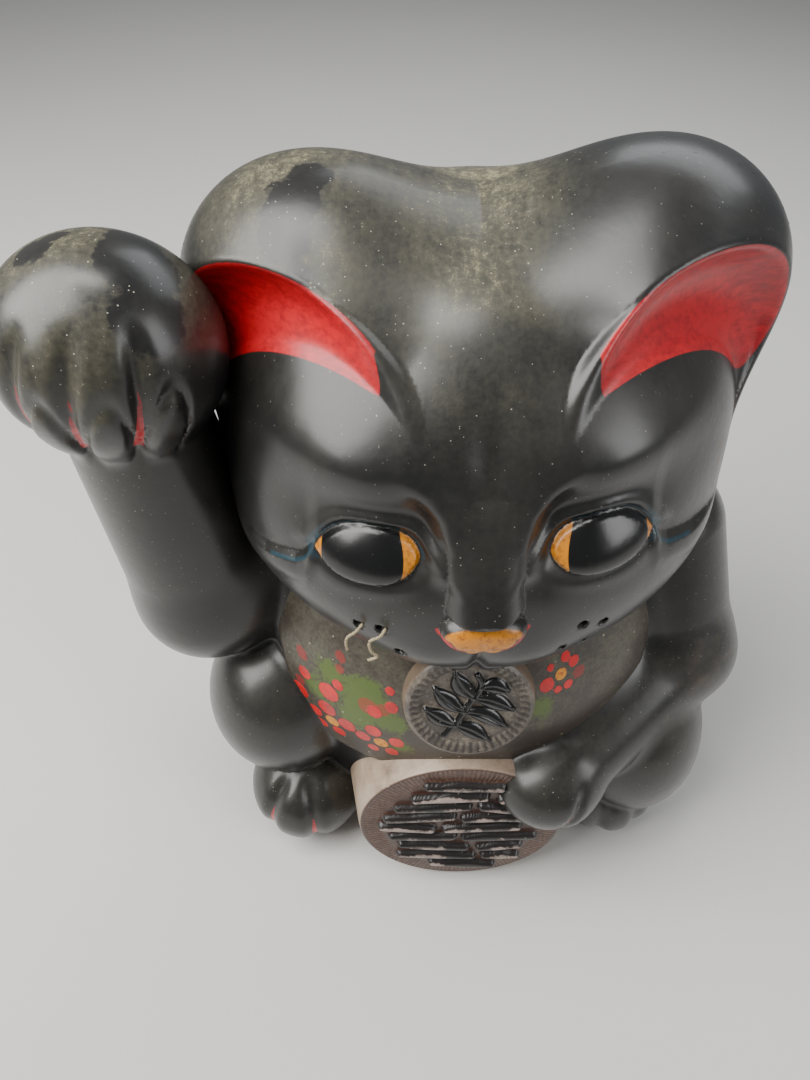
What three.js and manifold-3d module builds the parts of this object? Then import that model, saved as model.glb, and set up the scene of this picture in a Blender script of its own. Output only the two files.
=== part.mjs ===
// Beckoning cat coin bank in fired clay, built from separately moulded pieces.
// Millimetres, +Z up. The cat faces -Y and its own right side, with the raised paw, is at -X.
// The origin is on the ground under the middle of the torso, on the plane of symmetry.
import * as THREE from "three";
import { mergeVertices } from "three/addons/utils/BufferGeometryUtils.js";
import Module from "manifold-3d";

const wasm = await Module();
wasm.setup();

// ---- Driving dimensions ----
const GAP = 0.3; // clearance between luted pieces
const WALL = 6; // thickness of the hollow shells
const SEAM_Y = 6; // where the front and back halves meet

const TORSO = { centre: [0, 4, 112], radii: [116, 102, 108] };
const HIPS = { centre: [0, 4, 50], radii: [112, 99, 92] };
const HEAD_INSET = 3; // how much narrower each side of the head is than the torso
const CRANIUM = { centre: [0, 12, 256], radii: [TORSO.radii[0] - HEAD_INSET, 106, 82] };
const CHEEKS = { drop: 34, forward: 40, radii: [102, 66, 54] };
const MUZZLE = { drop: 43, forward: 64, radii: [68, 52, 45] };

const NECK_BORE = 84; // opening between the head and the torso
const SLOT_LENGTH = 44;
const SLOT_WIDTH = 6.5;
const SLOT_BACK = 0.66; // share of the way from the crown's middle to its back
const SLOT_ASIDE = 12; // the slot was cut a little to the cat's left

const SLAB_THICKNESS = 8;
const PLUG_HOLE = 44; // hole in the slab for the stopper
const PLUG_SET_BACK = 46;
const PLUG_CLEARANCE = 0.5;
const PLUG_RECESS = 1.5;
const PLUG_BODY = 13;
const PLUG_FLANGE = 3;
const PLUG_GRIP = 14;

// The two ears were pressed by hand and are not quite alike.
const RIGHT_EAR = { radii: [53, 50, 47], turn: 38, lean: 12, side: 0.6, back: 0.0, up: 0.59 };
const LEFT_EAR = { radii: [55, 52, 50], turn: 38, lean: 12, side: 0.61, back: 0.02, up: 0.62 };
const EAR_BOWL = { radii: [80, 56, 76], forward: 66 }; // the hollow that the ear's front shows

const RAISED_ARM = { shoulder: 34, elbow: 37, wrist: 31 };
const RAISED_PAW = [44, 40, 43];
const PAW_HEIGHT = 44; // height of the raised paw's middle above the middle of the head
const LOWERED_ARM = { shoulder: 37, elbow: 33, wrist: 21 };
const LOWERED_PAW = [27, 25, 24];
const ELBOW_STEP = 2; // an upper arm ends this much thinner than the elbow that covers it
const MEDALLION_DRAFT = 1.5;

const RIGHT_HAUNCH = { radii: [42, 46, 50], side: 0.84, forward: 0.47, middle: 84 };
const LEFT_HAUNCH = { radii: [40, 50, 56], side: 0.85, forward: 0.55, middle: 62 };
const FOOT = { radii: [32, 34, 28], side: 0.79, forward: 0.8 };
const TAIL = { reach: 40, rise: [2, 26], rootRadius: 17, tipRadius: 14 };

const COIN = { width: 105, height: 102, flare: 7, lean: 8, clearGround: 4 };
const COIN_FORWARD = 15; // how far the middle of the coin's face stands before the torso
const BIB = { thickness: 2.6, inset: 32, bottomHeight: 92, corner: 58 };
const MEDALLION = { diameter: 57, thickness: 7, height: 152 };

const WHISKER_HOLE = 3.2;
const THREAD = 1.3;
const THREAD_STAND = 2; // how far a thread stands out of its hole before it droops
const THREAD_LENGTHS = [9, 13];
const THREAD_LEANS = [-0.5, 0.2];

const SIDES = 24; // facets around a large rounded piece

// ---- Solids and materials ----
function solidFrom(geometry) {
  const bare = geometry.clone();
  bare.deleteAttribute("normal");
  bare.deleteAttribute("uv");
  const merged = mergeVertices(bare, 1e-4);
  return new wasm.Manifold(
    new wasm.Mesh({
      numProp: 3,
      vertProperties: new Float32Array(merged.attributes.position.array),
      triVerts: new Uint32Array(merged.index.array),
    }),
  );
}

function geometryFrom(solid) {
  const mesh = solid.getMesh();
  const positions = new Float32Array(mesh.numVert * 3);
  for (let i = 0; i < mesh.numVert; i++) {
    const start = i * mesh.numProp;
    positions.set(mesh.vertProperties.subarray(start, start + 3), i * 3);
  }
  const geometry = new THREE.BufferGeometry();
  geometry.setAttribute("position", new THREE.BufferAttribute(positions, 3));
  geometry.setIndex(new THREE.BufferAttribute(new Uint32Array(mesh.triVerts), 1));
  geometry.computeVertexNormals();
  return geometry;
}

const glaze = (color, roughness, metalness = 0) =>
  new THREE.MeshStandardMaterial({ color, roughness, metalness });

const materials = {
  black: glaze(0x1b1b1a, 0.36),
  coin: glaze(0x3a211b, 0.42),
  bib: glaze(0x3d352a, 0.5),
  medallion: glaze(0x4a3f3a, 0.45),
  bareClay: glaze(0x8a6f5a, 0.85),
  rubber: glaze(0x2c2a29, 0.8),
  thread: glaze(0xb9ae95, 0.9),
};

// ---- Primitive shapes; grow widens a shape on every side ----
function ellipsoid({ centre, radii }, grow = 0, turn = [0, 0, 0], sides = SIDES) {
  const geometry = new THREE.SphereGeometry(1, sides, Math.round(sides * 0.6));
  geometry.rotateX(Math.PI / 2);
  geometry.scale(radii[0] + grow, radii[1] + grow, radii[2] + grow);
  geometry.applyMatrix4(turning(turn));
  geometry.translate(...centre);
  return solidFrom(geometry);
}

function turning([x, y, z]) {
  const euler = new THREE.Euler(
    THREE.MathUtils.degToRad(x),
    THREE.MathUtils.degToRad(y),
    THREE.MathUtils.degToRad(z),
    "ZYX",
  );
  return new THREE.Matrix4().makeRotationFromEuler(euler);
}

// A round-ended limb that tapers from one ball to another.
function limb(from, to, fromRadius, toRadius, grow = 0, sides = 14) {
  const start = new THREE.Vector3(...from);
  const along = new THREE.Vector3(...to).sub(start);
  const length = along.length();
  const profile = [];
  const arcSteps = 4;
  for (let i = 0; i <= arcSteps; i++) {
    const angle = ((i / arcSteps) * Math.PI) / 2;
    const radius = fromRadius + grow;
    profile.push(new THREE.Vector2(radius * Math.sin(angle), -radius * Math.cos(angle)));
  }
  for (let i = arcSteps; i >= 0; i--) {
    const angle = ((i / arcSteps) * Math.PI) / 2;
    const radius = toRadius + grow;
    const height = length + radius * Math.cos(angle);
    profile.push(new THREE.Vector2(radius * Math.sin(angle), height));
  }
  profile[0].x = 0;
  profile[profile.length - 1].x = 0;
  const geometry = new THREE.LatheGeometry(profile, sides);
  const swing = new THREE.Quaternion().setFromUnitVectors(
    new THREE.Vector3(0, 1, 0),
    along.normalize(),
  );
  geometry.applyQuaternion(swing);
  geometry.translate(start.x, start.y, start.z);
  return solidFrom(geometry);
}

function box([x, y, z], [width, depth, height]) {
  return solidFrom(new THREE.BoxGeometry(width, depth, height).translate(x, y, z));
}

// A straight bar of round section along Z.
function post([x, y, z], diameter, height, sides = 28) {
  const geometry = new THREE.CylinderGeometry(diameter / 2, diameter / 2, height, sides);
  return solidFrom(geometry.rotateX(Math.PI / 2).translate(x, y, z));
}

const joined = (...solids) => solids.reduce((sum, next) => sum.add(next));
const without = (solid, ...cutters) => cutters.reduce((rest, cut) => rest.subtract(cut), solid);
// A point given in shares of an ellipsoid's radii from its centre.
const within = ({ centre, radii }, shares) => centre.map((c, i) => c + radii[i] * shares[i]);

// ---- The rounded masses that the pieces are cut from ----
const cheeks = {
  centre: [0, CRANIUM.centre[1] - CHEEKS.forward, CRANIUM.centre[2] - CHEEKS.drop],
  radii: CHEEKS.radii,
};
const muzzle = {
  centre: [0, CRANIUM.centre[1] - MUZZLE.forward, CRANIUM.centre[2] - MUZZLE.drop],
  radii: MUZZLE.radii,
};
const head = (grow = 0) =>
  joined(ellipsoid(CRANIUM, grow), ellipsoid(cheeks, grow), ellipsoid(muzzle, grow));

const farBelow = 400;
const belowGround = box([0, 0, -farBelow / 2], [2 * farBelow, 2 * farBelow, farBelow]);
const torso = (grow = 0) => joined(ellipsoid(TORSO, grow), ellipsoid(HIPS, grow));

const earSize = (side) => (side < 0 ? RIGHT_EAR : LEFT_EAR);
function earMass(side) {
  const size = earSize(side);
  return {
    centre: within(CRANIUM, [side * size.side, size.back, size.up]),
    radii: size.radii,
  };
}
const earTurn = (side) => [0, side * earSize(side).lean, side * earSize(side).turn];
const ear = (side, grow = 0) => ellipsoid(earMass(side), grow, earTurn(side), 20);
function earBowl(side) {
  const ahead = new THREE.Vector3(0, -EAR_BOWL.forward, 0).applyMatrix4(turning(earTurn(side)));
  const centre = new THREE.Vector3(...earMass(side).centre).add(ahead).toArray();
  return ellipsoid({ centre, radii: EAR_BOWL.radii }, 0, earTurn(side), 24);
}

// Joints of the raised arm, on the cat's right.
const raisedShoulder = within(TORSO, [-0.75, -0.05, 0.61]);
const raisedElbow = within(TORSO, [-1.11, -0.31, 0.42]);
const pawCentre = [
  raisedElbow[0] - 11,
  raisedElbow[1] - 2,
  CRANIUM.centre[2] + PAW_HEIGHT,
];
const raisedWrist = [pawCentre[0] + 2, pawCentre[1] + 2, pawCentre[2] - RAISED_PAW[2] + 6];
const raisedUpperArm = (grow = 0) =>
  limb(raisedShoulder, raisedElbow, RAISED_ARM.shoulder, RAISED_ARM.elbow - ELBOW_STEP, grow);
const raisedForearm = (grow = 0) =>
  limb(raisedElbow, raisedWrist, RAISED_ARM.elbow, RAISED_ARM.wrist, grow);
const raisedPaw = (grow = 0) =>
  ellipsoid({ centre: pawCentre, radii: RAISED_PAW }, grow, [0, 0, 0], 20);

// Joints of the lowered arm, on the cat's left.
const loweredShoulder = within(TORSO, [0.84, -0.06, 0.57]);
const loweredElbow = within(TORSO, [1.0, -0.36, 0]);
const coinFace = TORSO.centre[1] - TORSO.radii[1] - COIN_FORWARD;
const coinDepth = 34;
const coinMiddle = COIN.height / 2 + COIN.clearGround;
const loweredPawCentre = [COIN.width * 0.43, coinFace + 14, coinMiddle + COIN.height * 0.27];
const loweredUpperArm = (grow = 0) =>
  limb(loweredShoulder, loweredElbow, LOWERED_ARM.shoulder, LOWERED_ARM.elbow - ELBOW_STEP, grow);
const loweredForearm = (grow = 0) =>
  limb(loweredElbow, loweredPawCentre, LOWERED_ARM.elbow, LOWERED_ARM.wrist, grow);
const loweredPaw = (grow = 0) =>
  ellipsoid({ centre: loweredPawCentre, radii: LOWERED_PAW }, grow, [0, 0, 0], 18);

function haunch(side, grow = 0) {
  const size = side < 0 ? RIGHT_HAUNCH : LEFT_HAUNCH;
  const [x, y] = within(TORSO, [side * size.side, -size.forward, 0]);
  return ellipsoid({ centre: [x, y, size.middle], radii: size.radii }, grow, [0, 0, 0], 18);
}
function foot(side, grow = 0) {
  const [x, y] = within(HIPS, [side * FOOT.side, -FOOT.forward, 0]);
  return ellipsoid({ centre: [x, y, FOOT.radii[2] - 1], radii: FOOT.radii }, grow, [0, 0, 0], 16);
}

// ---- Shell pieces ----
const frontHalf = box([0, SEAM_Y - GAP / 2 - farBelow, 0], [900, 2 * farBelow, 1200]);
const backHalf = box([0, SEAM_Y + GAP / 2 + farBelow, 0], [900, 2 * farBelow, 1200]);

const neckPost = post(
  [CRANIUM.centre[0], CRANIUM.centre[1], CRANIUM.centre[2] - CRANIUM.radii[2]],
  NECK_BORE,
  2 * CHEEKS.drop,
);
const slotY = CRANIUM.centre[1] + CRANIUM.radii[1] * SLOT_BACK;
const coinSlot = box(
  [SLOT_ASIDE, slotY, CRANIUM.centre[2] + CRANIUM.radii[2]],
  [SLOT_LENGTH, SLOT_WIDTH, CRANIUM.radii[2] * 1.4],
);

// Directions from the middle of the muzzle to the holes that the whiskers were tied in.
const whiskerSpots = [
  [-0.92, -0.9, 0.2],
  [-0.66, -0.9, 0.08],
  [-0.46, -0.9, -0.12],
  [0.66, -0.9, 0.16],
  [0.86, -0.9, 0.26],
  [0.5, -0.9, -0.02],
  [0.36, -0.9, -0.16],
];

// How far the outside of an ellipsoid lies from a point inside it, along a direction.
function reach({ centre, radii }, from, along) {
  const p = from.map((value, i) => (value - centre[i]) / radii[i]);
  const d = along.toArray().map((value, i) => value / radii[i]);
  const dot = (a, b) => a.reduce((sum, value, i) => sum + value * b[i], 0);
  const [a, b, c] = [dot(d, d), dot(p, d), dot(p, p) - 1];
  return b * b < a * c ? 0 : (-b + Math.sqrt(b * b - a * c)) / a;
}

// The point on the head's outside in a whisker's direction, moved outwards by a distance.
function onMuzzle(spot, outward = 0) {
  const along = new THREE.Vector3(...spot).normalize();
  const far = Math.max(...[CRANIUM, cheeks, muzzle].map((mass) => reach(mass, muzzle.centre, along)));
  return new THREE.Vector3(...muzzle.centre).addScaledVector(along, far + outward);
}

// A straight round bar between two points.
function rod(from, to, diameter, sides) {
  const along = to.clone().sub(from);
  const geometry = new THREE.CylinderGeometry(diameter / 2, diameter / 2, along.length(), sides);
  const upright = new THREE.Vector3(0, 1, 0);
  geometry.applyQuaternion(
    new THREE.Quaternion().setFromUnitVectors(upright, along.clone().normalize()),
  );
  const middle = from.clone().add(to).multiplyScalar(0.5);
  return solidFrom(geometry.translate(...middle.toArray()));
}
const whiskerHoles = whiskerSpots.map((spot) =>
  rod(onMuzzle(spot, -2 * WALL), onMuzzle(spot, WALL), WHISKER_HOLE, 8),
);

const headShell = without(head(), head(-WALL), neckPost, coinSlot, ...whiskerHoles);
const torsoShell = without(torso(), torso(-WALL), belowGround, head(GAP));

const slabSolid = torso(-WALL - GAP).intersect(
  box([0, 0, SLAB_THICKNESS / 2], [2 * farBelow, 2 * farBelow, SLAB_THICKNESS]),
);
const plugPlace = (z) => [0, PLUG_SET_BACK, z];
const slab = without(slabSolid, post(plugPlace(SLAB_THICKNESS / 2), PLUG_HOLE, 2 * SLAB_THICKNESS));

const plugDiameter = PLUG_HOLE - 2 * PLUG_CLEARANCE;
const plugTop = PLUG_RECESS + PLUG_BODY;
const plugBody = post(plugPlace((PLUG_RECESS + plugTop) / 2), plugDiameter, PLUG_BODY);
const plugGrip = box(
  plugPlace(plugTop + PLUG_FLANGE / 2 - GAP),
  [PLUG_GRIP, plugDiameter - PLUG_GRIP, PLUG_FLANGE],
);
const plug = joined(plugBody, plugGrip);

// ---- Coin, bib and medallion ----
// The coin is an upright oval that leans back, and its side widens towards the cat.
function flaredCoin(grow = 0) {
  const halfWidth = COIN.width / 2 + grow;
  const halfHeight = COIN.height / 2 + grow;
  const depth = coinDepth + grow;
  const geometry = new THREE.CylinderGeometry(halfWidth + COIN.flare, halfWidth, depth, 40);
  geometry.scale(1, 1, halfHeight / halfWidth);
  geometry.translate(0, depth / 2 - grow, 0);
  geometry.rotateX(-THREE.MathUtils.degToRad(COIN.lean));
  geometry.translate(0, coinFace, coinMiddle);
  return solidFrom(geometry);
}

const bibOutline = new THREE.Shape();
const bibHalf = TORSO.radii[0] - BIB.inset;
const bibTop = TORSO.centre[2] + TORSO.radii[2];
const bibShoulder = BIB.bottomHeight + BIB.corner;
bibOutline.moveTo(-bibHalf, bibTop);
bibOutline.lineTo(-bibHalf, bibShoulder);
bibOutline.quadraticCurveTo(-bibHalf, BIB.bottomHeight, 0, BIB.bottomHeight);
bibOutline.quadraticCurveTo(bibHalf, BIB.bottomHeight, bibHalf, bibShoulder);
bibOutline.lineTo(bibHalf, bibTop);
bibOutline.closePath();
const bibPrism = solidFrom(
  new THREE.ExtrudeGeometry(bibOutline, {
    depth: farBelow,
    bevelEnabled: false,
    curveSegments: 10,
  })
    .rotateX(Math.PI / 2)
    .translate(0, SEAM_Y, 0),
);
const bibOuter = (grow = 0) => torso(BIB.thickness + grow);
const bib = bibOuter().intersect(bibPrism);

// Where the medallion sits on the chest, and the way it faces there.
const medallionUp = (MEDALLION.height - TORSO.centre[2]) / TORSO.radii[2];
const chest = within(TORSO, [0, -Math.sqrt(1 - medallionUp * medallionUp), medallionUp]);
const chestNormal = new THREE.Vector3(
  0,
  (chest[1] - TORSO.centre[1]) / TORSO.radii[1] ** 2,
  (chest[2] - TORSO.centre[2]) / TORSO.radii[2] ** 2,
).normalize();
const medallionRoot = 9; // part of the disc's depth that the curved chest cuts away

function medallionDisc(grow = 0) {
  const radius = MEDALLION.diameter / 2 + grow;
  const height = medallionRoot + BIB.thickness + MEDALLION.thickness + grow;
  const geometry = new THREE.CylinderGeometry(radius - MEDALLION_DRAFT, radius, height, 36);
  geometry.translate(0, height / 2 - medallionRoot, 0);
  const upright = new THREE.Vector3(0, 1, 0);
  geometry.applyQuaternion(new THREE.Quaternion().setFromUnitVectors(upright, chestNormal));
  geometry.translate(...chest);
  return solidFrom(geometry);
}

// ---- Tail and whisker threads ----
const tailRoot = within(HIPS, [0.42, 0.86, -0.3]);
const tailTip = [tailRoot[0] + TAIL.reach, tailRoot[1] + TAIL.rise[0], tailRoot[2] + TAIL.rise[1]];
const tail = (grow = 0) => limb(tailRoot, tailTip, TAIL.rootRadius, TAIL.tipRadius, grow, 16);

// A stub of thread leaves its hole straight and droops down the cheek.
function whiskerThread(spot, length, lean) {
  const start = onMuzzle(spot, -WALL / 2);
  const mouth = onMuzzle(spot, THREAD_STAND);
  const outward = mouth.clone().sub(start).normalize();
  const knee = onMuzzle(spot, 2 * THREAD_STAND);
  const droop = new THREE.Vector3(lean, 0, -1).normalize();
  const end = knee.clone().addScaledVector(droop, length).addScaledVector(outward, length / 3);
  const route = new THREE.CatmullRomCurve3([start, mouth, knee, end]);
  const section = new THREE.Shape().absarc(0, 0, THREAD / 2, 0, 2 * Math.PI);
  return solidFrom(
    new THREE.ExtrudeGeometry(section, {
      steps: 8,
      curveSegments: 3,
      bevelEnabled: false,
      extrudePath: route,
    }),
  );
}

// ---- Assembly: each piece is cut to the pieces it is luted to ----
const cat = new THREE.Group();

// A cut can leave loose flakes where two facets almost meet; the piece is its largest body.
function largest(solid) {
  return solid.decompose().reduce((best, body) => (body.volume() > best.volume() ? body : best));
}

function place(name, solid, material) {
  const mesh = new THREE.Mesh(geometryFrom(largest(solid)), material);
  mesh.name = name;
  cat.add(mesh);
}

const frontNeighbours = joined(flaredCoin(GAP), bibOuter(GAP).intersect(bibPrism));

place("head_front_shell", headShell.intersect(frontHalf), materials.black);
place("head_back_shell", headShell.intersect(backHalf), materials.black);
place("body_front_shell", torsoShell.intersect(frontHalf), materials.black);
place("body_back_shell", torsoShell.intersect(backHalf), materials.black);
place("base_slab", slab, materials.bareClay);
place("base_plug", plug, materials.rubber);

for (const [name, side] of [["right_ear", -1], ["left_ear", 1]])
  place(name, without(ear(side), earBowl(side), head(GAP)), materials.black);

place(
  "raised_upper_arm",
  without(raisedUpperArm(), torso(GAP), head(GAP), raisedForearm(GAP), frontNeighbours),
  materials.black,
);
place(
  "raised_forearm",
  without(raisedForearm(), torso(GAP), head(GAP), raisedPaw(GAP), frontNeighbours),
  materials.black,
);
place("raised_paw", without(raisedPaw(), head(GAP), ear(-1, GAP)), materials.black);

place(
  "lowered_upper_arm",
  without(loweredUpperArm(), torso(GAP), head(GAP), loweredForearm(GAP), frontNeighbours),
  materials.black,
);
place(
  "lowered_forearm",
  without(loweredForearm(), torso(GAP), loweredPaw(GAP), frontNeighbours),
  materials.black,
);
place("lowered_paw", without(loweredPaw(), torso(GAP), frontNeighbours), materials.black);

const raisedArm = joined(raisedUpperArm(GAP), raisedForearm(GAP));
const loweredArm = joined(loweredUpperArm(GAP), loweredForearm(GAP), loweredPaw(GAP));
for (const [name, side, arm] of [["right", -1, raisedArm], ["left", 1, loweredArm]]) {
  place(
    name + "_haunch",
    without(haunch(side), belowGround, torso(GAP), arm, frontNeighbours),
    materials.black,
  );
  place(
    name + "_foot",
    without(foot(side), belowGround, torso(GAP), haunch(side, GAP), arm, frontNeighbours),
    materials.black,
  );
}

place("tail", without(tail(), belowGround, torso(GAP)), materials.black);
place("coin", without(flaredCoin(), torso(GAP), belowGround), materials.coin);
place("bib", without(bib, torso(GAP), head(GAP), flaredCoin(GAP)), materials.bib);
place("medallion", without(medallionDisc(), bibOuter(GAP), head(GAP)), materials.medallion);

THREAD_LENGTHS.forEach((length, i) => {
  const thread = whiskerThread(whiskerSpots[i > 0 ? 1 : 0], length, THREAD_LEANS[i]);
  place("whisker_thread_" + (i + 1), thread, materials.thread);
});

export default cat;
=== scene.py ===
"""A beckoning cat coin bank: black glazed pottery with painted eyes, ears, bib and a relief coin.

Lengths inside the sculpting code are in millimetres; every mesh is written in metres.
"""

import logging
import math
from dataclasses import dataclass, field
from enum import Enum
from typing import Callable, ClassVar, Iterable

import bpy
import numpy as np
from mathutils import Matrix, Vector


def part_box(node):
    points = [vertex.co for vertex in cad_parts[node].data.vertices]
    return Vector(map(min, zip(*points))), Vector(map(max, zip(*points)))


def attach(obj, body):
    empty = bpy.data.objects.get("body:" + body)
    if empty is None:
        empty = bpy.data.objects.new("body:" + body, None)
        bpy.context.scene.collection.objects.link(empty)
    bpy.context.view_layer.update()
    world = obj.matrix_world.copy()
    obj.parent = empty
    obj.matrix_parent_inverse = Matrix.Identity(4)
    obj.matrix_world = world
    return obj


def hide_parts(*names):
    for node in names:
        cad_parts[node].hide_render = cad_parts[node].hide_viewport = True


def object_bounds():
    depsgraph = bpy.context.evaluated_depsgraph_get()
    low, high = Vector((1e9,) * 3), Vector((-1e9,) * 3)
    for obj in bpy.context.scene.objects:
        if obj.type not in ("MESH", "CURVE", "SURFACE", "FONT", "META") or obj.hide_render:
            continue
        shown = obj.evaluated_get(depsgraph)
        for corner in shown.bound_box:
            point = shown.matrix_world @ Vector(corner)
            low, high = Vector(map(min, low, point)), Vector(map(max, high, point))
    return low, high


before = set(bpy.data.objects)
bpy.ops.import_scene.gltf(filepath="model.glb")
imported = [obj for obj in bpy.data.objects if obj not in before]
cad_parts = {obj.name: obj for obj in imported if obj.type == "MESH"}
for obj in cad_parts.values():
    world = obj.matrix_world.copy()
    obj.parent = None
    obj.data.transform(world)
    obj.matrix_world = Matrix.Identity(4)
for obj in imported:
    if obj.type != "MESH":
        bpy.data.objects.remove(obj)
cad_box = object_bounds()

log = logging.getLogger("cat bank")
MM = 0.001
FIGURE = "figure"
SLOPE_REACH = 0.3  # half the step that a field's slope is measured over
OUTSIDE = -9.0  # stored where a painted feature is nowhere near


# ---------------------------------------------------------------- clay forms
Array = np.ndarray
Field = Callable[[Array], Array]
Triple = tuple[float, float, float]
Route = list[tuple[float, float]]
Spots = list[tuple[float, float, float, float]]


def turned(x: float = 0.0, y: float = 0.0, z: float = 0.0) -> Array:
    """Gives the matrix that turns about X, then Y, then Z.

    Args:
        x: Degrees about X.
        y: Degrees about Y.
        z: Degrees about Z.

    Returns:
        A 3 by 3 rotation matrix.
    """
    (cx, cy, cz), (sx, sy, sz) = np.cos(np.radians([x, y, z])), np.sin(np.radians([x, y, z]))
    about_x = np.array([[1, 0, 0], [0, cx, -sx], [0, sx, cx]])
    about_y = np.array([[cy, 0, sy], [0, 1, 0], [-sy, 0, cy]])
    about_z = np.array([[cz, -sz, 0], [sz, cz, 0], [0, 0, 1]])
    return about_z @ about_y @ about_x


def ball(points: Array, centre: Array, radii: Array, turn: Array | None = None) -> Array:
    """Measures how far points lie outside an ellipsoid.

    Args:
        points: Points in millimetres, one per row.
        centre: The ellipsoid's centre.
        radii: Its three half widths.
        turn: The matrix that turned it, or None.

    Returns:
        A distance for each point, negative inside.
    """
    local = points - np.asarray(centre, float)
    if turn is not None:
        local = local @ turn
    radii = np.asarray(radii, float)
    near = np.linalg.norm(local / radii, axis=-1)
    slope = np.linalg.norm(local / radii**2, axis=-1) + 1e-9
    return near * (near - 1.0) / slope


def limb(points: Array, start: Array, end: Array, thick: float, thin: float) -> Array:
    """Measures how far points lie outside a round-ended, tapering limb.

    Args:
        points: Points in millimetres, one per row.
        start: Middle of the first end.
        end: Middle of the last end.
        thick: Radius at the start.
        thin: Radius at the end.

    Returns:
        A distance for each point, negative inside.
    """
    start = np.asarray(start, float)
    along = np.asarray(end, float) - start
    offset = points - start
    share = np.clip(offset @ along / (along @ along), 0.0, 1.0)
    return np.linalg.norm(offset - share[..., None] * along, axis=-1) - (thick + (thin - thick) * share)


def blended(one: Array, other: Array, width: float) -> Array:
    """Joins two distances with a fillet of clay of the given width."""
    share = np.clip(0.5 + 0.5 * (other - one) / width, 0.0, 1.0)
    return other + (one - other) * share - width * share * (1.0 - share)


def carved(one: Array, cutter: Array, width: float) -> Array:
    """Takes a cutter away from a form and rounds the edge by the given width."""
    return -blended(-one, cutter, width)


def bump(distance: Array, width: float) -> Array:
    """A soft hill of height 1 that falls away over a width."""
    return np.exp(-((distance / width) ** 2))


def step(value: Array, width: float = 1.0) -> Array:
    """A soft step from 0 to 1 as value goes from minus half a width to plus half."""
    share = np.clip(value / width + 0.5, 0.0, 1.0)
    return share * share * (3.0 - 2.0 * share)


def along_path(across: Array, up: Array, path: Route) -> tuple[Array, Array]:
    """Finds the nearest place on a drawn path.

    Args:
        across: First coordinate of each point.
        up: Second coordinate of each point.
        path: The path's corners in order.

    Returns:
        The distance to the path, and the share of the path's length at that place.
    """
    corners = np.array(path, float)
    lengths = np.linalg.norm(np.diff(corners, axis=0), axis=1)
    travelled = np.concatenate([[0.0], np.cumsum(lengths)]) / lengths.sum()
    best = np.full(np.shape(across), 1e9)
    where = np.zeros(np.shape(across))
    for i, (begin, finish) in enumerate(zip(corners[:-1], corners[1:])):
        edge = finish - begin
        share = ((across - begin[0]) * edge[0] + (up - begin[1]) * edge[1]) / (edge @ edge)
        share = np.clip(share, 0.0, 1.0)
        distance = np.hypot(across - begin[0] - share * edge[0], up - begin[1] - share * edge[1])
        nearer = distance < best
        best = np.where(nearer, distance, best)
        where = np.where(nearer, travelled[i] + share * (travelled[i + 1] - travelled[i]), where)
    return best, where


def smooth_path(corners: list[tuple[float, ...]], steps: int = 6) -> list[tuple[float, ...]]:
    """Rounds a path by passing a smooth curve through its corners.

    Args:
        corners: The places that the curve passes through.
        steps: Points on each stretch between two corners.

    Returns:
        The points of the curve.
    """
    knots = np.array([corners[0], *corners, corners[-1]], float)
    points = []
    for i in range(1, len(knots) - 2):
        before, begin, finish, after = knots[i - 1 : i + 3]
        for t in np.arange(steps) / steps:
            points.append(
                0.5
                * (
                    2 * begin
                    + (finish - before) * t
                    + (2 * before - 5 * begin + 4 * finish - after) * t**2
                    + (3 * begin - before - 3 * finish + after) * t**3
                )
            )
    points.append(knots[-2])
    return [tuple(point) for point in points]


def inside_outline(across: Array, up: Array, corners: Route) -> Array:
    """Tells which points lie inside a closed outline.

    Args:
        across: First coordinate of each point.
        up: Second coordinate of each point.
        corners: The outline's corners in order.

    Returns:
        True for each point inside.
    """
    inside = np.zeros(np.shape(across), bool)
    for (a, b), (c, d) in zip(corners, [*corners[1:], corners[0]]):
        crosses = (b > up) != (d > up)
        if b != d:
            inside ^= crosses & (across < a + (up - b) * (c - a) / (d - b))
    return inside


class Side(Enum):
    """The cat's own right and left."""

    RIGHT = -1
    LEFT = 1


@dataclass(frozen=True)
class Eye:
    """One modelled and painted eye: across from the nose and up from the middle of the head."""

    across: float = 43.6
    up: float = -2.6
    half_width: float = 20.0
    half_height: float = 10.6
    droop: float = 1.6

    def place(self, across: Array, up: Array) -> tuple[Array, Array]:
        """Gives places on the eye, from -1 at the inner corner to 1 at the outer, and from lid to lid."""
        out = (across - self.across) / self.half_width
        lift = (up - self.up + self.droop * out) / self.half_height
        return out, lift - 0.12 * (1.0 - out**2)

    def outside(self, across: Array, up: Array) -> Array:
        """Measures how far each point lies outside the eye's rim, in millimetres."""
        out, lift = self.place(across, up)
        power = np.interp(out, [-1.0, 0.0, 1.0], [1.7, 2.0, 1.15])
        reach = np.sqrt(out**2 + np.abs(lift) ** power)
        return (reach - 1.0) * self.half_height * (1.0 + 0.35 * np.abs(out))


@dataclass(frozen=True)
class Mound:
    """A soft oval swelling on the face, or a hollow where its height is negative."""

    across: float
    up: float
    half_width: float
    half_height: float
    height: float

    def lift(self, across: Array, up: Array) -> Array:
        """Gives the swelling's height at each place."""
        aside, above = (across - self.across) / self.half_width, (up - self.up) / self.half_height
        return self.height * np.exp(-(aside**2) - above**2)


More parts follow.
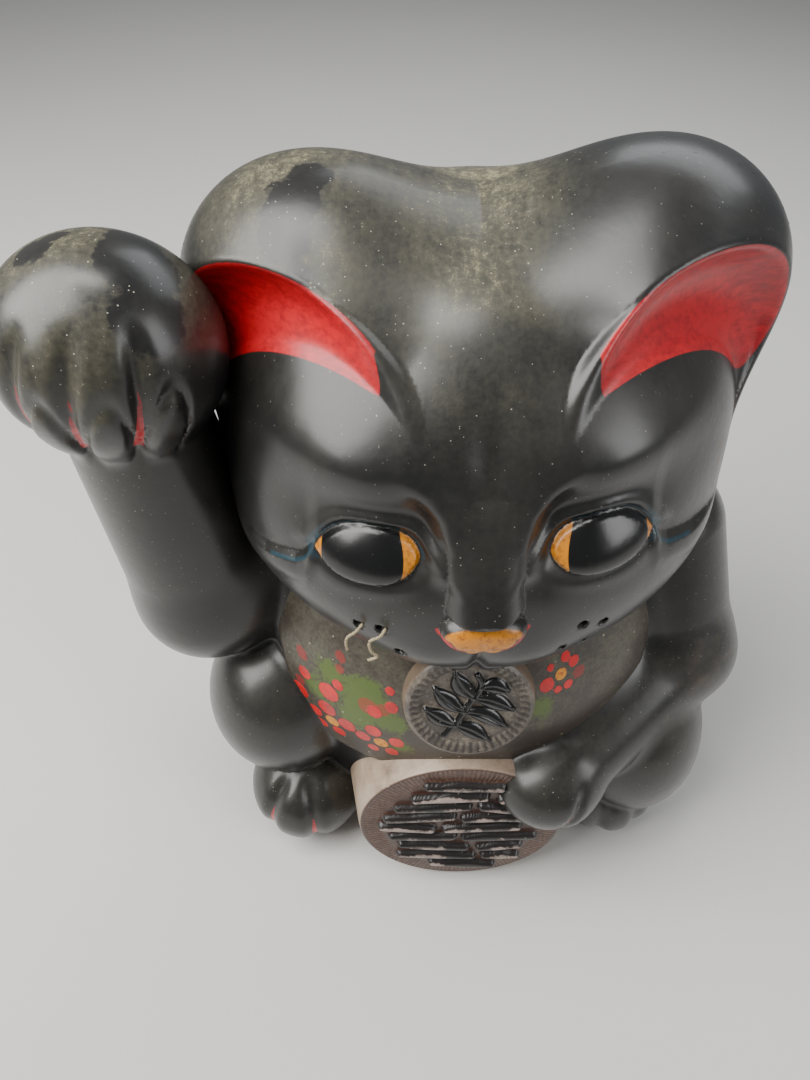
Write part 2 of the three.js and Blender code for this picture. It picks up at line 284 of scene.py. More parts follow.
@dataclass(frozen=True)
class Ear:
    """One hooded ear: a lobe with a brim swept to the forehead, hollowed out in front."""

    side: Side
    middle: Triple
    radii: Triple
    rise: float = 0.0
    turn: float = 37.0
    lean: float = 12.0
    brim_middle: Triple = (60.0, -20.0, 299.0)
    brim_radii: Triple = (46.0, 52.0, 32.0)
    bowl_middle: Triple = (89.0, -60.0, 296.0)
    bowl_radii: Triple = (66.0, 46.0, 48.0)
    front: float = 73.0
    lip: float = 3.4
    floor: float = 20.0
    flank: Triple = (6.0, 12.0, 32.0)
    flank_places: Triple = (-74.0, -48.0, 5.0)
    brim_fillet: float = 16.0
    fillet_behind: float = 1.0

    def placed(self, middle: Triple) -> Array:
        """Puts a middle given for the left ear on this ear's side and height."""
        return np.array([self.side.value * middle[0], middle[1], middle[2] + self.rise])

    def lobe(self, points: Array) -> Array:
        """Measures the distance to the uncut lobe and brim."""
        turn = turned(0.0, self.side.value * self.lean, self.side.value * self.turn)
        flat = turned(0.0, 0.0, self.side.value * self.turn)
        form = ball(points, self.middle, self.radii, turn)
        brim = ball(points, self.placed(self.brim_middle), self.brim_radii, flat)
        return blended(form, brim, self.brim_fillet)

    def bowl(self, points: Array) -> Array:
        """Measures the distance to the bowl that hollows the front."""
        flat = turned(0.0, 0.0, self.side.value * self.turn)
        return ball(points, self.placed(self.bowl_middle), self.bowl_radii, flat)

    def ahead(self, points: Array) -> Array:
        """Measures how far points stand in front of the ear's open face."""
        angle = math.radians(self.turn)
        facing = points[..., 0] * self.side.value * math.sin(angle) - points[..., 1] * math.cos(angle)
        return facing - self.front

    def form(self, points: Array) -> Array:
        """Measures the distance to the finished ear."""
        return carved(self.lobe(points), self.bowl(points), self.lip)

    def grown_from(self, skull: Array, points: Array) -> Array:
        """Measures the distance to the skull with this ear drawn out of it.

        Args:
            skull: The distance to the skull at each point.
            points: Points in millimetres, one per row.

        Returns:
            The distance, with a narrow joint in front, a wide one behind and a floor in the bowl.
        """
        flank = np.interp(points[..., 1], self.flank_places, self.flank)
        bowl = self.bowl(points)
        hood = carved(blended(skull, self.lobe(points), flank), bowl, self.lip)
        fillet = self.floor * step(3.0 - bowl, 8.0) * step(self.fillet_behind - self.ahead(points), 14.0)
        return np.minimum(skull, blended(skull, hood, fillet + 0.01))


@dataclass
class Head:
    """The hollow head: cranium, cheeks and muzzle, the modelled face, and two ears."""

    WHISKER_HOLES: ClassVar[list[Triple]] = [
        (-47.8, -39.6, 1.6), (-38.6, -37.2, 1.7), (-31.5, -49.5, 1.6), (39.8, -34.4, 1.6),
        (49.0, -38.2, 1.5), (42.4, -49.0, 1.1), (32.8, -46.2, 1.1),
    ]
    BROW_RIDGE: ClassVar[Route] = [(15.0, -4.0), (15.0, 8.0), (17.0, 16.0), (22.0, 24.0), (30.0, 31.0)]
    CREASE: ClassVar[Route] = [
        (58.0, 7.0), (61.5, 3.0), (64.0, -4.0), (68.0, -11.0),
        (72.0, -14.5), (78.0, -17.0), (86.0, -20.5), (96.0, -23.0),
    ]
    MOUTH: ClassVar[Route] = [(0.0, -56.5), (5.0, -60.0), (12.0, -62.5), (20.0, -61.0)]
    PAINTED_LIP: ClassVar[Route] = [(1.0, -57.0), (5.0, -60.0), (11.0, -62.5)]
    WIPED: ClassVar[Spots] = [
        (-63.0, 1.0, 352.0, 9.0), (-69.0, -12.0, 350.0, 12.0),
        (-71.0, -26.0, 346.0, 13.0), (-66.0, -39.0, 338.0, 9.0),
    ]

    middle: Array
    radii: Array
    ears: tuple[Ear, Ear]
    eye: Eye = field(default_factory=Eye)
    cheek_shift: Triple = (0.0, -40.0, -34.0)
    cheek_radii: Triple = (102.0, 66.0, 54.0)
    muzzle_shift: Triple = (0.0, -64.0, -43.0)
    muzzle_radii: Triple = (68.0, 52.0, 45.0)
    face_lean: float = 0.06
    eyes_aside: float = -0.3
    nose_up: float = -27.5
    nose_half: tuple[float, float] = (15.0, 7.0)
    seam_ridge: float = 0.3
    seam_width: float = 1.3
    seam_forward: float = 6.0
    slot_lip: float = 1.2
    muzzle_fillet: float = 34.0
    cheek_fillet: float = 24.0
    relief_reach: float = 16.0
    eyeball_rise: float = 5.6
    lid_offset: float = 3.4
    upper_lid: float = 2.2
    lower_lid: float = 0.8
    lip_cleft: float = 2.0
    mouth_cut: float = 1.7
    hole_depth: float = 3.4
    socket: Mound = Mound(41.0, 7.0, 30.0, 16.0, -4.2)
    inner_corner: Mound = Mound(23.5, 8.0, 10.0, 18.0, -4.2)
    brow: Mound = Mound(48.0, 31.0, 28.0, 14.0, 4.5)
    furrow: Mound = Mound(0.0, 31.0, 8.0, 16.0, -3.8)
    whisker_pad: Mound = Mound(20.0, -50.0, 17.0, 14.0, 2.6)
    chin: Mound = Mound(0.0, -70.0, 12.0, 7.0, 2.0)
    slot_middle: tuple[float, float] = (12.0, 82.0)
    slot_half: tuple[float, float] = (22.0, 3.3)
    slot_depth: float = 8.0

    def skull(self, points: Array) -> Array:
        """Measures the distance to the plain rounded head."""
        form = ball(points, self.middle, self.radii)
        muzzle = ball(points, self.middle + self.muzzle_shift, self.muzzle_radii)
        cheeks = ball(points, self.middle + self.cheek_shift, self.cheek_radii)
        return blended(blended(form, muzzle, self.muzzle_fillet), cheeks, self.cheek_fillet)

    def face_place(self, points: Array) -> tuple[Array, Array, Array]:
        """Gives each point's place on the face: across, up, and how much it is in front."""
        across = points[..., 0] - self.middle[0]
        up = points[..., 2] - self.middle[2] - self.face_lean * across
        front = step(self.middle[1] - 30.0 - points[..., 1], 30.0)
        return across, up, front

    def relief(self, points: Array) -> Array:
        """Gives the height of the modelled features above the plain head."""
        across, up, front = self.face_place(points)
        away = np.abs(across)
        beside = np.abs(across - self.eyes_aside * step(away - 12.0, 24.0))
        eye = self.eye
        rim = eye.outside(beside, up)
        # The socket is deepest between the bridge and the upper lid.
        height = self.socket.lift(beside, up) + self.inner_corner.lift(away, up)
        # Brow swellings over the eyes, the furrow between them and the ridges beside it.
        height = height + self.brow.lift(beside, up) + self.furrow.lift(away, up)
        ridge, share = along_path(away, up, self.BROW_RIDGE)
        height = height + 2.6 * bump(ridge, 4.6) * step(0.85 - share, 0.7)
        # The crease that runs from the outer corner of the eye over the cheek.
        edge = np.interp(beside, *np.array(self.CREASE).T)
        above = up - edge
        reach = step(beside - eye.across - eye.half_width - 1.0, 7.0) * step(95.0 - beside, 24.0)
        sunk = step(above - 0.8, 2.6) * np.exp(-np.clip(above, 0.0, None) / 13.0)
        swell = np.exp(-(((above + 5.0) / 6.0) ** 2))
        height = height + (1.6 * swell - 2.8 * sunk) * reach
        # Eyeball and lids.
        out, lift = eye.place(beside, up)
        dome = np.sqrt(np.clip(1.0 - out**2 - lift**2, 0.0, None))
        height = height + self.eyeball_rise * dome * step(-rim - 0.5, 1.4)
        over_eye = step(lift, 0.7) * step(1.7 - out, 0.6) * step(out + 1.5, 0.5)
        height = height + self.upper_lid * bump(rim - self.lid_offset, 2.8) * over_eye
        height = height + self.lower_lid * bump(rim - self.lid_offset, 3.6) * step(-lift, 0.7)
        # Whisker pads, lips and chin.
        height = height + self.whisker_pad.lift(away, up) + self.chin.lift(away, up)
        height = height - self.lip_cleft * bump(away, 2.8) * step(self.nose_up - 6.0 - up, 5.0)
        mouth, _ = along_path(away, up, self.MOUTH)
        height = height - self.mouth_cut * bump(mouth, 1.5)
        height = height - self.hole_depth * step(self.pits(points) + 0.3, 1.4)
        return (height + self.nose(away, up)) * front

    def pits(self, points: Array) -> Array:
        """Measures how far points lie inside the nearest whisker hole."""
        across, up = points[..., 0] - self.middle[0], points[..., 2] - self.middle[2]
        inside = [size - np.hypot(across - x, up - z) for x, z, size in self.WHISKER_HOLES]
        return np.where(points[..., 1] < self.middle[1] - 60.0, np.max(inside, axis=0), OUTSIDE)

    def nose(self, away: Array, up: Array) -> Array:
        """Gives the height of the nose: a round-topped bridge that ends in an oval pad."""
        rise = np.interp(up, [-46.0, -30.0, -18.0, -6.0, 8.0, 22.0], [9.0, 10.0, 9.4, 6.6, 3.2, 0.0])
        half = np.interp(up, [-40.0, -26.0, -10.0, 4.0, 18.0], [14.6, 13.4, 11.4, 12.0, 15.0])
        across = np.clip(away / (half + 4.0), 0.0, 1.0)
        bridge = rise * (1.0 - across**4) ** 2 * step(up - self.nose_up - 7.5, 5.0)
        beside_bridge = step(4.0 - up, 16.0) * step(up - self.nose_up, 10.0)
        bridge = bridge - 1.6 * bump(away - half - 5.5, 3.4) * beside_bridge
        pad = np.hypot(away / (self.nose_half[0] + 1.6), (up - self.nose_up) / (self.nose_half[1] + 1.6))
        bridge = np.maximum(bridge, 7.4 * np.sqrt(np.clip(1.0 - pad**4, 0.0, None)))
        nostril = np.hypot((away - 5.0) / 3.4, (up - self.nose_up + 4.0) / 1.2)
        return bridge - 0.7 * bump(nostril, 0.8) - 0.5 * bump(away, 1.0) * step(self.nose_up - up, 2.0)

    def form(self, points: Array) -> Array:
        """Measures the distance to the whole head with its ears."""
        form = self.skull(points)
        near = np.abs(form) < self.relief_reach
        relief = np.zeros_like(form)
        relief[near] = self.relief(points[near])
        form = form - relief
        form = np.min([ear.grown_from(form, points) for ear in self.ears], axis=0)
        ridge = bump(points[..., 1] - self.middle[1] + self.seam_forward, self.seam_width)
        form = form - self.seam_ridge * ridge * step(self.middle[2] + 30.0 - points[..., 2], 40.0)
        return carved(form, self.slot(points, form), self.slot_lip)

    def hole_mouth(self, hole: Triple) -> Array:
        """Finds where a whisker hole opens on the face."""
        depths = np.arange(self.middle[1] - 130.0, self.middle[1] - 60.0, 0.25)
        line = np.tile([self.middle[0] + hole[0], 0.0, self.middle[2] + hole[1]], (len(depths), 1))
        line[:, 1] = depths
        inside = self.skull(line) - 2.0 < 0.0
        return line[np.argmax(inside)]

    def slot(self, points: Array, form: Array) -> Array:
        """Measures the distance to the coin slot's well."""
        middle, half, deep = self.slot_middle, self.slot_half, self.slot_depth
        beside = np.abs(points[..., 0] - middle[0]) - half[0]
        well = np.maximum(beside, np.abs(points[..., 1] - middle[1]) - half[1])
        return np.maximum(well, np.where(points[..., 2] > self.middle[2], -form - deep, 9.0))

    def paint(self, points: Array, outward: Array) -> dict[str, Array]:
        """Works out the painted features, the painted shade in the whisker holes and the wear for the glaze
        to read.

        Args:
            points: Corners of the surface.
            outward: The surface's direction at each.

        Returns:
            Numbers for each corner, by name.
        """
        across, up, _ = self.face_place(points)
        away = np.abs(across)
        beside = np.abs(across - self.eyes_aside * step(away - 12.0, 24.0))
        rim = self.eye.outside(beside, up)
        out, lift = self.eye.place(beside, up)
        facing = points[:, 1] < self.middle[1] - 40.0
        round_pupil = np.hypot((out - 0.08) / 0.78, lift / 1.75)
        pupil = (1.0 - round_pupil) * self.eye.half_height * 1.4
        pad = np.hypot(away / self.nose_half[0], (up - self.nose_up) / self.nose_half[1])
        pad_inside = (1.0 - pad) * self.nose_half[1]
        beside_pad = np.minimum(pad_inside + 1.6, np.minimum(1.5 - pad_inside, (away - 6.5) * 0.5))
        beside_pad = np.minimum(beside_pad, self.nose_up + 0.2 - up)
        lip, _ = along_path(across, up, self.PAINTED_LIP)
        red = np.where(facing, np.maximum(beside_pad, 0.8 - lip), OUTSIDE)
        shade = np.where(facing, 0.25, 0.0)
        for ear in self.ears:
            bowl = ear.bowl(points)
            inside = np.minimum(1.2 - bowl, 4.0 - ear.lobe(points))
            inside = np.minimum(inside, 2.5 - ear.ahead(points))
            red = np.maximum(red, inside)
            shade = np.where(np.abs(bowl) < 8.0, 0.55 - 0.5 * np.clip(inside / 9.0, 0.0, 1.0), shade)
        crease = up - np.interp(beside, *np.array(self.CREASE).T)
        x, _, z = points.T
        return {
            "eye_rim": rim,
            "eye_out": out,
            "eye_lift": lift,
            "eye_near": (facing & (np.abs(out) < 1.8) & (np.abs(lift) < 2.2)).astype(float),
            "pupil": pupil,
            "pad": np.where(facing, np.minimum(pad_inside, -beside_pad), OUTSIDE),
            "red": red,
            "red_shade": shade,
            "crease": crease,
            "crease_near": (facing * step(beside - 61.0, 3.0) * step(84.0 - beside, 8.0)),
            "dust": self.dust(points, outward),
            "wipe": spots(points, self.WIPED),
            "rub": 0.62 * np.exp(-(((x - 100.0) / 16.0) ** 2) - ((z - 262.0) / 34.0) ** 2),
            # painted shade: marks the whisker holes to be coloured near black
            "hole_painted_shade": self.pits(points) + 0.4,
        }

    def dust(self, points: Array, outward: Array) -> Array:
        """Measures how thickly dust lies: most on the crown, the back and the top of the right ear."""
        x, y, z = points.T
        up = np.clip(outward[:, 2], 0.0, 1.0)
        crown_half = 24.0 + 0.22 * np.clip(y + 30.0, 0.0, 90.0)
        crown = np.exp(-(np.abs((x + 4.0) / crown_half) ** 3)) * step(y + 66.0, 70.0)
        right_ear = np.exp(-(((x + 76.0) / 36.0) ** 4)) * step(z - 322.0, 24.0)
        back = step(y - 40.0, 50.0)
        dust = up**1.3 * (0.2 + 1.0 * crown + 0.35 * back) + 0.8 * right_ear * up**0.7
        left_ear = step(x - 34.0, 24.0) * step(z - 310.0, 30.0) * (1.0 - back)
        forehead = np.exp(-(((x - 2.0) / 17.0) ** 4) - ((y + 56.0) / 11.0) ** 4)
        return dust * (1.0 - 0.7 * left_ear) * (1.0 - 0.6 * forehead)


@dataclass(frozen=True)
class Toes:
    """Soft folds that part the toes of a paw, with an arched claw on each toe."""

    middle: Triple
    radii: Triple
    folds: tuple[float, ...] = ()
    claws: tuple[float, ...] = ()
    top: float = 30.0
    bottom: float = -50.0
    depth: float = 3.0
    width: float = 4.0
    claw_width: float = 7.6
    claw_middle: float = -29.0
    claw_reach: float = 29.0
    claw_rise: float = 0.7
    claw_cut: float = 1.3
    slant: float = 0.2
    streaks: tuple[float, ...] = ()
    streak_low: float = -30.0
    streak_reach: float = 50.0

    def distance(self, points: Array) -> Array:
        """Measures the distance to the plain paw."""
        return ball(points, self.middle, self.radii)

    def angles(self, points: Array) -> tuple[Array, Array]:
        """Gives each point's angle round the paw and its angle above the middle, in degrees."""
        local = (points - np.array(self.middle)) / np.array(self.radii)
        around = np.degrees(np.arctan2(local[..., 0], -local[..., 1]))
        above = np.degrees(np.arctan2(local[..., 2], np.hypot(local[..., 0], local[..., 1])))
        return around, above

    def leant(self, start: float, above: Array) -> Array:
        """Gives the angle at which a fold or a claw that leans across the paw is met."""
        return start + self.slant * (above + 45.0)

    def relief(self, points: Array) -> Array:
        """Gives the height of the toes above the plain paw, negative in the folds."""
        around, above = self.angles(points)
        scale = math.radians(1.0) * self.radii[0] * np.clip(np.cos(np.radians(above)), 0.2, 1.0)
        fade = step(self.top - above, 30.0) * step(above - self.bottom, 22.0)
        height = np.zeros_like(above)
        for fold in self.folds:
            beside = (around - self.leant(fold, above)) * scale
            height = height - self.depth * bump(beside, self.width) * fade
        for claw in self.claws:
            aside = (around - self.leant(claw, above)) * scale / self.claw_width
            arch = np.hypot(aside, (above - self.claw_middle) / self.claw_reach)
            rim = (arch - 1.0) * self.claw_width
            nail = self.claw_rise * step(-rim, 3.0) - self.claw_cut * bump(rim - 0.8, 1.5)
            height = height + nail * fade
        return height

    def streak(self, points: Array) -> tuple[Array, Array]:
        """Measures the painted streaks in the folds.

        Returns:
            How far points lie inside a streak, in degrees, and the streak's shade.
        """
        around, above = self.angles(points)
        reach = np.linalg.norm((points - np.array(self.middle)) / np.array(self.radii), axis=1)
        below_top = self.streak_low + self.streak_reach - above
        width = 0.6 + 0.06 * np.clip(below_top, 0.0, self.streak_reach)
        slim = np.full(len(points), OUTSIDE)
        for streak in self.streaks:
            beside = np.abs(around - self.leant(streak, above))
            one = np.minimum(np.minimum(width - beside, below_top * 0.1), (above - self.streak_low) * 0.2)
            slim = np.maximum(slim, one)
        return np.where(reach < 1.3, slim, OUTSIDE), 0.1 + 1.1 * step(above - self.streak_low - 24.0, 34.0)


@dataclass(frozen=True)
class Limb:
    """A round-ended length of clay that tapers."""

    start: Triple
    end: Triple
    thick: float
    thin: float

    def distance(self, points: Array) -> Array:
        """Measures the distance to the limb."""
        return limb(points, self.start, self.end, self.thick, self.thin)


@dataclass(frozen=True)
class Mass:
    """A rounded lump of clay."""

    middle: Triple
    radii: Triple

    def distance(self, points: Array) -> Array:
        """Measures the distance to the lump."""
        return ball(points, self.middle, self.radii)


@dataclass(frozen=True)
class Luted:
    """One part luted to the torso, and the fillet of slip round its joint."""

    part: Limb | Mass | Toes
    fillet: float


@dataclass
class Body:
    """The hollow torso with its arms, haunches, feet and tail."""

    WIPED: ClassVar[Spots] = [
        (-118.0, -34.0, 338.0, 15.0), (-114.0, -50.0, 326.0, 13.0), (-121.0, -20.0, 341.0, 11.0),
        (-154.0, -33.0, 341.0, 8.0), (-148.0, -26.0, 343.0, 5.0),
    ]

    torso: Mass
    hips: Mass
    waist_fillet: float
    limbs: dict[str, Luted]
    toe_reach: float = 12.0

    def parts(self, points: Array) -> dict[str, Array]:
        """Measures the distance to each mass that the body is luted together from."""
        torso = blended(self.torso.distance(points), self.hips.distance(points), self.waist_fillet)
        return {"torso": torso, **{name: luted.part.distance(points) for name, luted in self.limbs.items()}}

    def form(self, points: Array) -> Array:
        """Measures the distance to the whole body, which is flat at the bottom."""
        parts = self.parts(points)
        form = parts["torso"]
        for name, luted in self.limbs.items():
            part = parts[name]
            if isinstance(luted.part, Toes):
                near = np.abs(part) < self.toe_reach
                part[near] -= luted.part.relief(points[near])
            form = blended(form, part, luted.fillet)
        return np.maximum(form, -points[..., 2])

    def paint(self, points: Array, outward: Array) -> dict[str, Array]:
        """Works out the painted claws and the wear for the glaze to read.

        Args:
            points: Corners of the surface.
            outward: The surface's direction at each.

        Returns:
            Numbers for each corner, by name.
        """
        x, _, z = points.T
        red = np.full(len(points), OUTSIDE)
        shade = np.full(len(points), 0.3)
        for luted in self.limbs.values():
            if isinstance(luted.part, Toes):
                slim, streak_shade = luted.part.streak(points)
                red = np.maximum(red, slim)
                shade = np.where(slim > -1.0, streak_shade, shade)
        top = np.clip(outward[:, 2], 0.0, 1.0) ** 1.3
        paw_middle = np.array(self.limbs["raised_paw"].part.middle)
        paw = np.exp(-((np.linalg.norm(points - paw_middle, axis=1) / 60.0) ** 4))
        dust = top * 0.3 + 0.9 * paw * step(outward[:, 2] - 0.12 - 0.3 * outward[:, 0], 0.9)
        rub = 0.5 * np.exp(-(((x - 120.0) / 40.0) ** 2) - ((z - 130.0) / 60.0) ** 2)
        rub = rub + 0.3 * np.exp(-(((x + 130.0) / 40.0) ** 2) - ((z - 170.0) / 40.0) ** 2)
        rub = rub + 0.45 * step(20.0 - z, 24.0)
        return {
            "red": red,
            "red_shade": shade,
            "dust": dust,
            "wipe": spots(points, self.WIPED),
            "rub": rub,
            "pad": np.full(len(points), OUTSIDE),
        }


# ---------------------------------------------------------------- meshes
@dataclass
class Surface:
    """A sculpted surface of four-sided faces, with its outward directions."""

    points: Array
    faces: Array
    outward: Array


def slope_of(field_at: Field, points: Array) -> Array:
    """Measures a field's slope at points by small steps along each axis."""
    pairs = [field_at(points + s) - field_at(points - s) for s in np.eye(3) * SLOPE_REACH]
    return np.stack(pairs, -1) / (2.0 * SLOPE_REACH)


@dataclass
class Sculptor:
    """Turns a distance field into a smooth surface of small four-sided faces."""

    field: Field
    low: Triple
    high: Triple
    cell: float
    seam: float
    block: int = 6
    batch: int = 400_000

    def measured(self, points: Array) -> Array:
        """Measures the field at many points, a batch at a time."""
        parts = [self.field(points[i : i + self.batch]) for i in range(0, len(points), self.batch)]
        return np.concatenate(parts) if parts else np.zeros(0)

    def grid(self) -> tuple[Array, Array]:
        """Samples the field on a grid, finely only near the surface.

        Returns:
            The grid's first corner, and the field's values on the grid.
        """
        low = np.array(self.low)
        # The seam plane runs through the middle of a layer of cells.
        low[1] = self.seam - (math.ceil((self.seam - low[1]) / self.cell) + 0.5) * self.cell
        blocks = np.ceil((np.array(self.high) - low) / (self.cell * self.block)).astype(int)
        size = self.cell * self.block
        index = np.stack(np.meshgrid(*[np.arange(n) for n in blocks], indexing="ij"), -1).reshape(-1, 3)
        middle = self.measured(low + (index + 0.5) * size)
        values = np.empty(blocks * self.block + 1, np.float32)
        values[:-1, :-1, :-1] = np.kron(middle.reshape(blocks), np.ones((self.block,) * 3))
        values[-1], values[:, -1], values[:, :, -1] = size, size, size
        near = index[np.abs(middle) < size * 1.25]
        step_in = np.stack(np.meshgrid(*[np.arange(self.block + 1)] * 3, indexing="ij"), -1).reshape(-1, 3)
        cells = (near[:, None, :] * self.block + step_in[None]).reshape(-1, 3)
        values[tuple(cells.T)] = self.measured(low + cells * self.cell)
        return low, values

    def slope(self, points: Array) -> Array:
        """Measures the field's slope at points."""
        return slope_of(self.measured, points)

    def surface(self) -> Surface:
        """Meshes the field and settles every corner on it."""
        low, values = self.grid()
        inside = values < 0.0
        corners = [(i, j, k) for i in (0, 1) for j in (0, 1) for k in (0, 1)]
        shape = np.array(values.shape) - 1
        window = [tuple(slice(c, c + n) for c, n in zip(corner, shape)) for corner in corners]
        count = sum(inside[w].astype(np.int8) for w in window)
        active = (count > 0) & (count < 8)
        number = np.full(shape, -1)
        number[active] = np.arange(active.sum())
        cells = np.argwhere(active)
        total = np.zeros((len(cells), 3))
        crossings = np.zeros(len(cells))
        for a, one in enumerate(corners):
            for other in corners[a + 1 :]:
                if sum(p != q for p, q in zip(one, other)) != 1:
                    continue
                first = values[tuple((cells + one).T)].astype(float)
                last = values[tuple((cells + other).T)].astype(float)
                cut = (first < 0) != (last < 0)
                share = np.where(cut, first / np.where(cut, first - last, 1.0), 0.0)
                place = np.array(one) + share[:, None] * (np.array(other) - np.array(one))
                total += place * cut[:, None]
                crossings += cut
        points = low + (cells + total / crossings[:, None]) * self.cell
        faces = self.faces(inside, number)
        points = self.settled(points)
        layer = np.abs(low[1] + (cells[:, 1] + 0.5) * self.cell - self.seam) < 0.01
        points[layer, 1] = self.seam
        outward = self.slope(points)
        outward /= np.linalg.norm(outward, axis=1, keepdims=True) + 1e-9
        return Surface(points, faces, outward)

    def settled(self, points: Array, rounds: int = 3) -> Array:
        """Moves points down the field's slope until they lie on the surface."""
        for _ in range(rounds):
            slope = self.slope(points)
            away = self.measured(points) / ((slope**2).sum(1) + 0.05)
            move = away[:, None] * slope
            length = np.linalg.norm(move, axis=1, keepdims=True)
            points = points - move * np.minimum(1.0, 0.6 * self.cell / (length + 1e-9))
        return points

    def faces(self, inside: Array, number: Array) -> Array:
        """Joins the four cells around every grid edge that crosses the surface."""
        found = []
        for axis in range(3):
            one, two = [(1, 2), (2, 0), (0, 1)][axis]
            ahead = [slice(None)] * 3
            ahead[axis] = slice(1, None)
            behind = [slice(None)] * 3
            behind[axis] = slice(None, -1)
            change = inside[tuple(behind)].astype(np.int8) - inside[tuple(ahead)]
            for i in (one, two):
                trim = [slice(None)] * 3
                trim[i] = slice(1, -1)
                change = change[tuple(trim)]
            edges = np.argwhere(change)
            sign = change[tuple(edges.T)]
            base = edges.copy()
            quad = []
            for back_one, back_two in ((0, 0), (1, 0), (1, 1), (0, 1)):
                place = base.copy()
                place[:, one] += back_one
                place[:, two] += back_two
                quad.append(number[tuple(place.T)])
            quad = np.stack(quad, 1)
            quad[sign < 0] = quad[sign < 0][:, ::-1]
            found.append(quad)
        faces = np.concatenate(found)
        return faces[(faces >= 0).all(1)]


def settled_border(
    surface: Surface, sculptor: Sculptor, owner: Array, apart: dict[tuple[int, int], Field]
) -> None:
    """Straightens the border between neighbouring pieces by moving its corners along the surface.

    Args:
        surface: The surface whose points are moved.
        sculptor: The sculptor that made it.
        owner: The number of the piece that owns each face.
        apart: For pairs of pieces, a field that is zero where they meet.
    """
    for (one, other), gap in apart.items():
        touches = []
        for piece in (one, other):
            held = np.zeros(len(surface.points), bool)
            held[surface.faces[owner == piece].ravel()] = True
            touches.append(held)
        rim = np.flatnonzero(touches[0] & touches[1])
        if not len(rim):
            continue
        points = surface.points[rim]
        for _ in range(2):
            value = gap(points)
            slope = slope_of(gap, points)
            normal = surface.outward[rim]
            slope -= (slope * normal).sum(1, keepdims=True) * normal
            move = value[:, None] * slope / ((slope**2).sum(1, keepdims=True) + 0.05)
            length = np.linalg.norm(move, axis=1, keepdims=True)
            points = points - move * np.minimum(1.0, 0.7 * sculptor.cell / (length + 1e-9))
        surface.points[rim] = sculptor.settled(points, 1)


def mesh_object(
    name: str, points: Array, faces: Iterable, corner_normals: Array | None = None
) -> bpy.types.Object:
    """Makes a smooth-shaded mesh object from points in millimetres.

    Args:
        name: The piece's name.
        points: Corners in millimetres.
        faces: The corners of each face.
        corner_normals: A direction for each face corner, or None to leave them to the mesh.

    Returns:
        The new object, linked to the scene.
    """
    mesh = bpy.data.meshes.new(name)
    if isinstance(faces, np.ndarray):
        faces = faces.tolist()
    mesh.from_pydata((np.asarray(points) * MM).tolist(), [], faces)
    mesh.shade_smooth()
    if corner_normals is not None:
        mesh.normals_split_custom_set(corner_normals.tolist())
    piece = bpy.data.objects.new(name, mesh)
    bpy.context.scene.collection.objects.link(piece)
    return piece


def paint_field(piece: bpy.types.Object, name: str, values: Array) -> None:
    """Stores one number for each corner of a mesh, for its finish to read."""
    layer = piece.data.attributes.new(name, "FLOAT", "POINT")
    layer.data.foreach_set("value", np.asarray(values, np.float32))


def patch(name: str, surface: Surface, chosen: Array, wall: float) -> tuple[bpy.types.Object, Array]:
    """Makes a closed piece from some of a surface's faces by giving them a wall.

    Args:
        name: The piece's name.
        surface: The surface to take faces from.
        chosen: Which faces to take.
        wall: The wall's thickness in millimetres.

    Returns:
        The piece, and the surface corner that each of its corners came from.
    """
    faces = surface.faces[chosen]
    used, flat = np.unique(faces, return_inverse=True)
    outer = flat.reshape(faces.shape)
    count = len(used)
    points = surface.points[used]
    normals = surface.outward[used]
    edges = np.stack([outer, np.roll(outer, -1, 1)], -1).reshape(-1, 2)
    key = edges[:, 0] * count + edges[:, 1]
    mirrored = edges[:, 1] * count + edges[:, 0]
    border = edges[~np.isin(key, mirrored)]
    rim = np.stack([border[:, 1], border[:, 0], border[:, 0] + count, border[:, 1] + count], 1)
    inner = outer[:, ::-1] + count
    all_points = np.concatenate([points, points - normals * wall])
    all_faces = np.concatenate([outer, inner, rim])
    corner = all_points[rim[:, 0]]
    side = np.cross(all_points[rim[:, 1]] - corner, all_points[rim[:, 3]] - corner)
    side /= np.linalg.norm(side, axis=1, keepdims=True) + 1e-9
    corner_normals = np.concatenate([
        normals[outer.ravel()],
        -normals[inner.ravel() - count],
        np.repeat(side, 4, axis=0),
    ])
    piece = mesh_object(name, all_points, all_faces, corner_normals)
    return piece, np.concatenate([used, used])


# ---------------------------------------------------------------- finishes
Colour = Triple


